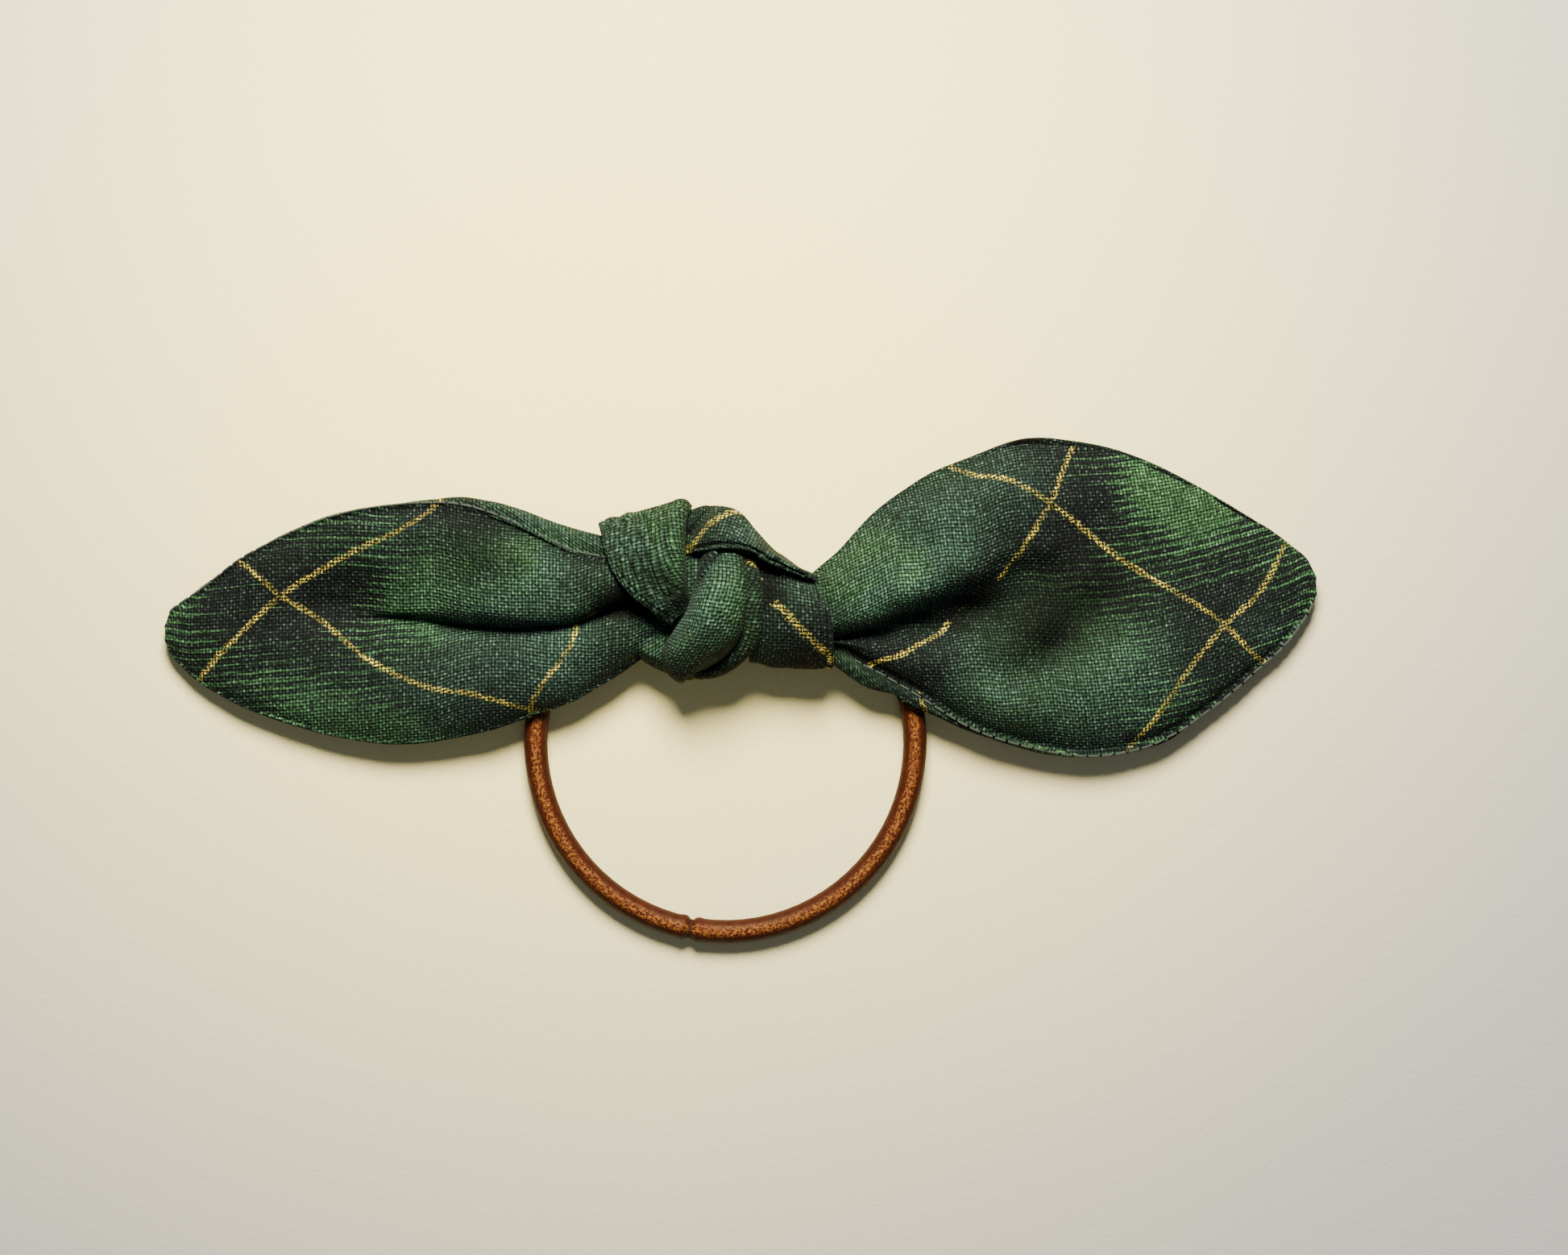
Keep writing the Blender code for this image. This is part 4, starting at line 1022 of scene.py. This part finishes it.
            [(-12.2, -1.0, 5.4), (-9.3, -1.4, 5.8), (-6.4, -2.4, 6.6), (-3.0, -0.8, 9.0),
             (2.0, -0.6, 9.0), (6.0, -1.0, 8.8), (10.0, -1.6, 8.0)],
            [(-12.2, 2.6, 6.2), (-9.3, 3.4, 6.8), (-6.4, 4.0, 8.2), (-3.0, 4.2, 9.4),
             (2.0, 3.2, 9.2), (6.0, 1.6, 8.6), (10.0, 0.4, 7.6)],
            [(-12.2, 5.2, 5.8), (-9.3, 6.4, 6.2), (-6.4, 7.4, 7.0), (-3.0, 8.4, 7.4),
             (2.0, 6.6, 7.0), (6.0, 3.6, 6.6), (10.0, 1.8, 6.2)],
            [(-12.2, 5.2, 4.9), (-9.3, 6.2, 4.8), (-6.4, 7.2, 4.7), (-3.0, 8.0, 4.6),
             (2.0, 6.4, 4.6), (6.0, 3.4, 4.8), (10.0, 1.6, 5.0)],
            [(-12.2, 0.0, 4.2), (-9.3, 0.0, 4.3), (-6.4, -0.6, 4.3), (-3.0, 0.0, 4.3),
             (2.0, 0.0, 4.3), (6.0, -1.0, 4.4), (10.0, -2.0, 4.5)],
            [(-12.2, -5.6, 4.3), (-9.3, -7.6, 4.3), (-6.4, -8.8, 4.4), (-3.0, -8.2, 4.6),
             (2.0, -6.2, 4.8), (6.0, -5.6, 4.8), (10.0, -5.4, 4.8)],
        ],
        "plaid": [(-6.0, -8.0, 0.50, 0.50), (6.0, 0.0, 0.80, 0.62)],
        "flat": (0.0400, 0.0220),
        "replaces": ["knot_inner_turn"],
        "seed": 77.0,
    },
}


def band(rails):
    # the sections across the turn, which are what a loft takes
    return [list(section) for section in zip(*rails)]


def makeKnot():
    made = {}
    for name, settings in knotTurns.items():
        obj, _ = clothPiece(
            name,
            {
                "sections": band(settings["rails"]),
                "along": 150,
                "across": 120,
                "plaid": settings["plaid"],
                "goldScale": 1.35,
                "wrinkles": settings.get("wrinkles", knotWrinkles),
                "lines": settings.get("lines", []),
                "spots": settings.get("spots", []),
                "dents": settings.get("dents", []),
                "seed": settings["seed"],
            },
        )
        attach(obj, "knot")
        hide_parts(*settings["replaces"])
        made[name] = obj
        print("knot turn made:", name)
    return made


# Hair tie.

hairTie = {
    "cord": 2.5,  # mm over the sleeve
    "wall": 0.25,  # mm of braid round the core
    "within": 0.05,  # mm that the braid stays inside the cord's full size
    "radius": 23.6,  # mm to the cord's centre
    "flat": 4.4,  # mm that the knot pulls the loop flat
    "blend": 3.0,  # mm over which the flat stretch eases into the round
    "offTable": 0.1,  # mm under the cord, opposite the knot
    "bondAngle": 190.6,  # degrees from the loop's top
    "bondGap": 0.5,  # mm between the two cut ends
    "segments": 1100,
    "sides": 40,
    "strandPitch": 1.9,  # mm along the cord from one strand to the next
    "strands": 8.0,  # round the cord, each way
    "strandHeight": 0.012,  # mm
    "weld": 0.01,  # mm
}

# the ends are pinched into the glue and flare a little beside it: height, mm from the end, reach
cordEnds = {
    "flare": (0.10, 0.75, 0.45),
    "pinch": (-0.30, 0.0, 0.28),
}

glueBead = {
    "radius": 1.13,  # mm
    "tipRadius": 0.02,  # mm
    "halfLength": 0.42,  # mm
    "lumps": 0.05,  # of the radius
    "rings": 15,
    "sides": 37,
    "weld": 0.05,  # mm
}


def braidedSatin():
    t = hairTie
    tint = (1.0, 0.66, 0.42, 1.0)
    s = Shader("braidedSatin", Specular_IOR_Level=0.11, Specular_Tint=tint)
    # a runs along the cord in mm, and b round it in turns, where strands cross in two directions
    a, b, _ = s.parts(s.uvMap("braid"))
    left = ((a / t["strandPitch"] + b * t["strands"]) * math.pi).maths("SINE").maths("ABSOLUTE")
    right = ((a / t["strandPitch"] - b * t["strands"]) * math.pi).maths("SINE").maths("ABSOLUTE")
    strand = left.maths("MAXIMUM", right)
    fibres = s.noise(s.vector(a * 4.0, b * 44.0), 1.0, 2.0)
    broad = s.noise(s.vector(a * 0.25, b * 2.0), 1.0, 2.0)
    deep = s.mix(strand * 0.5 + fibres * 0.5, (0.014, 0.0027, 0.0015), (0.033, 0.0068, 0.0034))
    # painted highlight: the top of the cord, where the lamp lights it, is painted a speckled golden
    # shine
    paintedTopLight = s.ramp((b * (2 * math.pi)).maths("SINE") + (broad - 0.5) * 0.16, 0.80, 1.02)
    glint = s.noise(s.vector(a * 2.3, b * 25.0), 1.0, 3.0, 0.75)
    # painted glints speckle that painted highlight along the strands
    paintedShine = s.ramp(glint * 0.7 + fibres * 0.3 + paintedTopLight * 0.06, 0.50, 0.64) * paintedTopLight
    colour = s.mix(paintedShine, deep, (0.21, 0.078, 0.019))
    colour = s.mix(s.ramp(broad, 0.45, 0.70) * 0.30, colour, (0.050, 0.011, 0.0048))
    s.feed("Base Color", colour)
    s.feed("Roughness", 0.48 - strand * 0.06 + fibres * 0.14)
    s.feed("Normal", s.bump(strand * 0.6 + fibres * 0.5, 0.00005, 0.8))
    return s.material


def gluedEnd():
    s = Shader("gluedEnd", Specular_IOR_Level=0.15)
    lumps = s.noise(s.objectPlace(), 1800.0, 3.0)
    s.feed("Base Color", s.mix(lumps, (0.009, 0.002, 0.0012), (0.034, 0.008, 0.004)))
    s.feed("Roughness", lumps * 0.3 + 0.60)
    s.feed("Normal", s.bump(lumps, 0.00008))
    return s.material


def latexStrands():
    s = Shader("latexStrands", Specular_IOR_Level=0.4)
    grain = s.noise(s.objectPlace(), 2400.0, 3.0)
    s.feed("Base Color", s.mix(grain, (0.42, 0.32, 0.18), (0.62, 0.50, 0.32)))
    s.feed("Roughness", grain * 0.25 + 0.45)
    s.feed("Normal", s.bump(grain, 0.00005))
    return s.material


def loopPoint(degrees):
    # the loop is round, flat at the top where the knot holds it, and slopes down to the table
    t = hairTie
    channelY, channelZ = (c / mm for c in joint("hair_tie_swing")["pos_m"][1:])
    angle = math.radians(degrees)
    top = t["radius"] - t["flat"]
    up = t["radius"] * math.cos(angle)
    share = min(max(0.5 + 0.5 * (up - top) / t["blend"], 0.0), 1.0)
    up = up * (1 - share) + top * share - t["blend"] * share * (1 - share)
    down = top - up
    tilt = math.asin((channelZ - t["cord"] / 2 - t["offTable"]) / (2 * t["radius"] - t["flat"]))
    return np.array([
        t["radius"] * math.sin(angle),
        channelY - down * math.cos(tilt),
        channelZ - down * math.sin(tilt),
    ])


def unit(vectors):
    return vectors / np.linalg.norm(vectors, axis=-1, keepdims=True)


def makeSleeve():
    t = hairTie
    half = math.degrees(t["bondGap"] / 2 / t["radius"])
    angles = np.linspace(t["bondAngle"] + half, t["bondAngle"] + 360 - half, t["segments"])
    line = np.array([loopPoint(angle) for angle in angles])
    ahead = unit(np.gradient(line, axis=0))
    side = unit(np.cross(ahead, [0.0, 0.0, 1.0]))
    over = np.cross(side, ahead)
    lengths = lengthsAlong(line)
    a, b = np.meshgrid(lengths, np.linspace(0, 1, t["sides"] + 1), indexing="ij")
    left = np.abs(np.sin((a / t["strandPitch"] + b * t["strands"]) * math.pi))
    right = np.abs(np.sin((a / t["strandPitch"] - b * t["strands"]) * math.pi))
    radius = t["cord"] / 2 - t["within"] + t["strandHeight"] * np.maximum(left, right)
    toEnd = np.minimum(a, lengths[-1] - a)
    for height, away, reach in cordEnds.values():
        radius += height * np.exp(-(((toEnd - away) / reach) ** 2))
    grid = (
        line[:, None]
        + radius[..., None] * np.cos(2 * math.pi * b)[..., None] * side[:, None]
        + radius[..., None] * np.sin(2 * math.pi * b)[..., None] * over[:, None]
    )
    sleeve = meshFrom("braidedSleeve", grid, {"braid": (a, b)})
    sleeve.data.materials.append(braidedSatin())
    joined(sleeve, t["weld"])
    thickened(sleeve, t["wall"])
    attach(sleeve, "hair_tie")
    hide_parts("elastic_sleeve")


def makeGlueBead():
    t = glueBead
    at = hairTie["bondAngle"]
    middle = loopPoint(at)
    along = unit(loopPoint(at + 1) - loopPoint(at - 1))
    sideways = unit(np.cross(along, [0.0, 0.0, 1.0]))
    above = np.cross(sideways, along)
    rings = []
    for s in np.linspace(-1, 1, t["rings"]):
        radius = t["radius"] * math.sqrt(max(1 - abs(s) ** 3, 0.0)) + t["tipRadius"]
        ring = []
        for turn in np.linspace(0, 2 * math.pi, t["sides"]):
            out = sideways * math.cos(turn) + above * math.sin(turn)
            lump = noise.noise(Vector((math.cos(turn) * 2, math.sin(turn) * 2, s * 2)))
            ring.append(middle + along * s * t["halfLength"] + out * radius * (1 + t["lumps"] * lump))
        rings.append(ring)
    a, b = np.meshgrid(np.linspace(0, 1, t["rings"]), np.linspace(0, 1, t["sides"]), indexing="ij")
    bead = meshFrom("glueBead", np.array(rings), {"bead": (a, b)})
    bead.data.materials.append(gluedEnd())
    joined(bead, t["weld"])
    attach(bead, "hair_tie")
    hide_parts("elastic_bond")


def makeHairTie():
    makeSleeve()
    makeGlueBead()
    # the core stays as the frame has it, and shows only at the cut ends
    core = frame["nodes"]["elastic_core"]
    core.data.materials.clear()
    core.data.materials.append(latexStrands())
    print("hair tie made")


# Stage, lights and camera, in metres.

paleCloth = {
    "size": 3.0,
    "under": 0.0002,  # below the bow
    "brightest": (-0.012, 0.03),
    "brightFrom": 0.01,  # from there, the painted pool of warm light fades into painted dimness
    "brightTo": 0.155,
    "paintedLitTone": (1.0, 0.88, 0.35),
    "paintedDimTone": (0.36, 0.37, 0.41),
    "thread": (0.30, 0.28, 0.24),
    "threadShare": 0.28,
}

lamps = {
    "key": {"place": (0.0, 0.225, 0.27), "size": 0.17, "power": 6.9, "colour": (1.0, 0.92, 0.72)},
    "fill": {"place": (0.10, -0.30, 0.75), "size": 0.50, "power": 0.45, "colour": (0.86, 0.92, 1.0)},
}
lampAim = (0, 0.03, 0)

room = {"colour": (0.86, 0.92, 1.0), "strength": 0.125}

camera = {
    "target": (7.3, -3.35, 4.0),  # mm
    "distance": 0.48,
    "elevation": 89,  # degrees: nearly straight down
    "viewWidth": 0.1946,  # at the target
    "sensor": 36.0,  # mm
}


def makeStage():
    t = paleCloth
    s = Shader("paleCloth", Specular_IOR_Level=0.2)
    place = s.objectPlace()
    soft = s.noise(place, 9.0, 3.0)
    grain = s.noise(place, 1500.0, 3.0, 0.7)
    x, y, _ = s.parts(place)
    # painted pool of light: warm near the brightest place, dim and grey further out
    away = ((x - t["brightest"][0]) ** 2.0 + (y - t["brightest"][1]) ** 2.0) ** 0.5
    paintedFalloff = s.ramp(away + (soft - 0.5) * 0.02, t["brightFrom"], t["brightTo"])
    pale = s.mix(paintedFalloff, t["paintedLitTone"], t["paintedDimTone"])
    threads = s.mix(t["threadShare"], pale, t["thread"])
    s.feed("Base Color", s.mix(soft * 0.5 + grain * 0.5, threads, pale))
    s.feed("Roughness", soft * 0.1 + 0.85)
    s.feed("Normal", s.bump(grain + soft * 6.0, 0.00012, 0.6))
    bpy.ops.mesh.primitive_plane_add(size=t["size"], location=(0, 0, -t["under"]))
    floor = bpy.context.object
    floor.name = "floor"
    floor.data.materials.append(s.material)
    print("stage made")


def makeLights():
    for name, settings in lamps.items():
        lamp = bpy.data.lights.new(name, "AREA")
        lamp.shape = "DISK"
        lamp.size = settings["size"]
        lamp.energy = settings["power"]
        lamp.color = settings["colour"]
        obj = linked(name, lamp)
        obj.location = settings["place"]
        towards = Vector(lampAim) - Vector(settings["place"])
        obj.rotation_euler = towards.to_track_quat("-Z", "Y").to_euler()
    world = bpy.data.worlds.new("room")
    world.use_nodes = True
    background = world.node_tree.nodes["Background"]
    background.inputs["Color"].default_value = (*room["colour"], 1.0)
    background.inputs["Strength"].default_value = room["strength"]
    bpy.context.scene.world = world
    print("lights made")


def makeCamera():
    elevation = math.radians(camera["elevation"])
    back = Vector((0, -math.cos(elevation), math.sin(elevation)))
    data = bpy.data.cameras.new("camera")
    data.sensor_width = camera["sensor"]
    data.lens = camera["sensor"] * camera["distance"] / camera["viewWidth"]
    cam = linked("camera", data)
    cam.location = Vector(camera["target"]) * mm + back * camera["distance"]
    cam.rotation_euler = (-back).to_track_quat("-Z", "Y").to_euler()
    bpy.context.scene.camera = cam
    print("camera made")


makeCamera()
makeLights()
makeStage()
leftPieces = makeTail("left", leftTail)
rightPieces = makeTail("right", rightTail)
knotPieces = makeKnot()
makeHairTie()
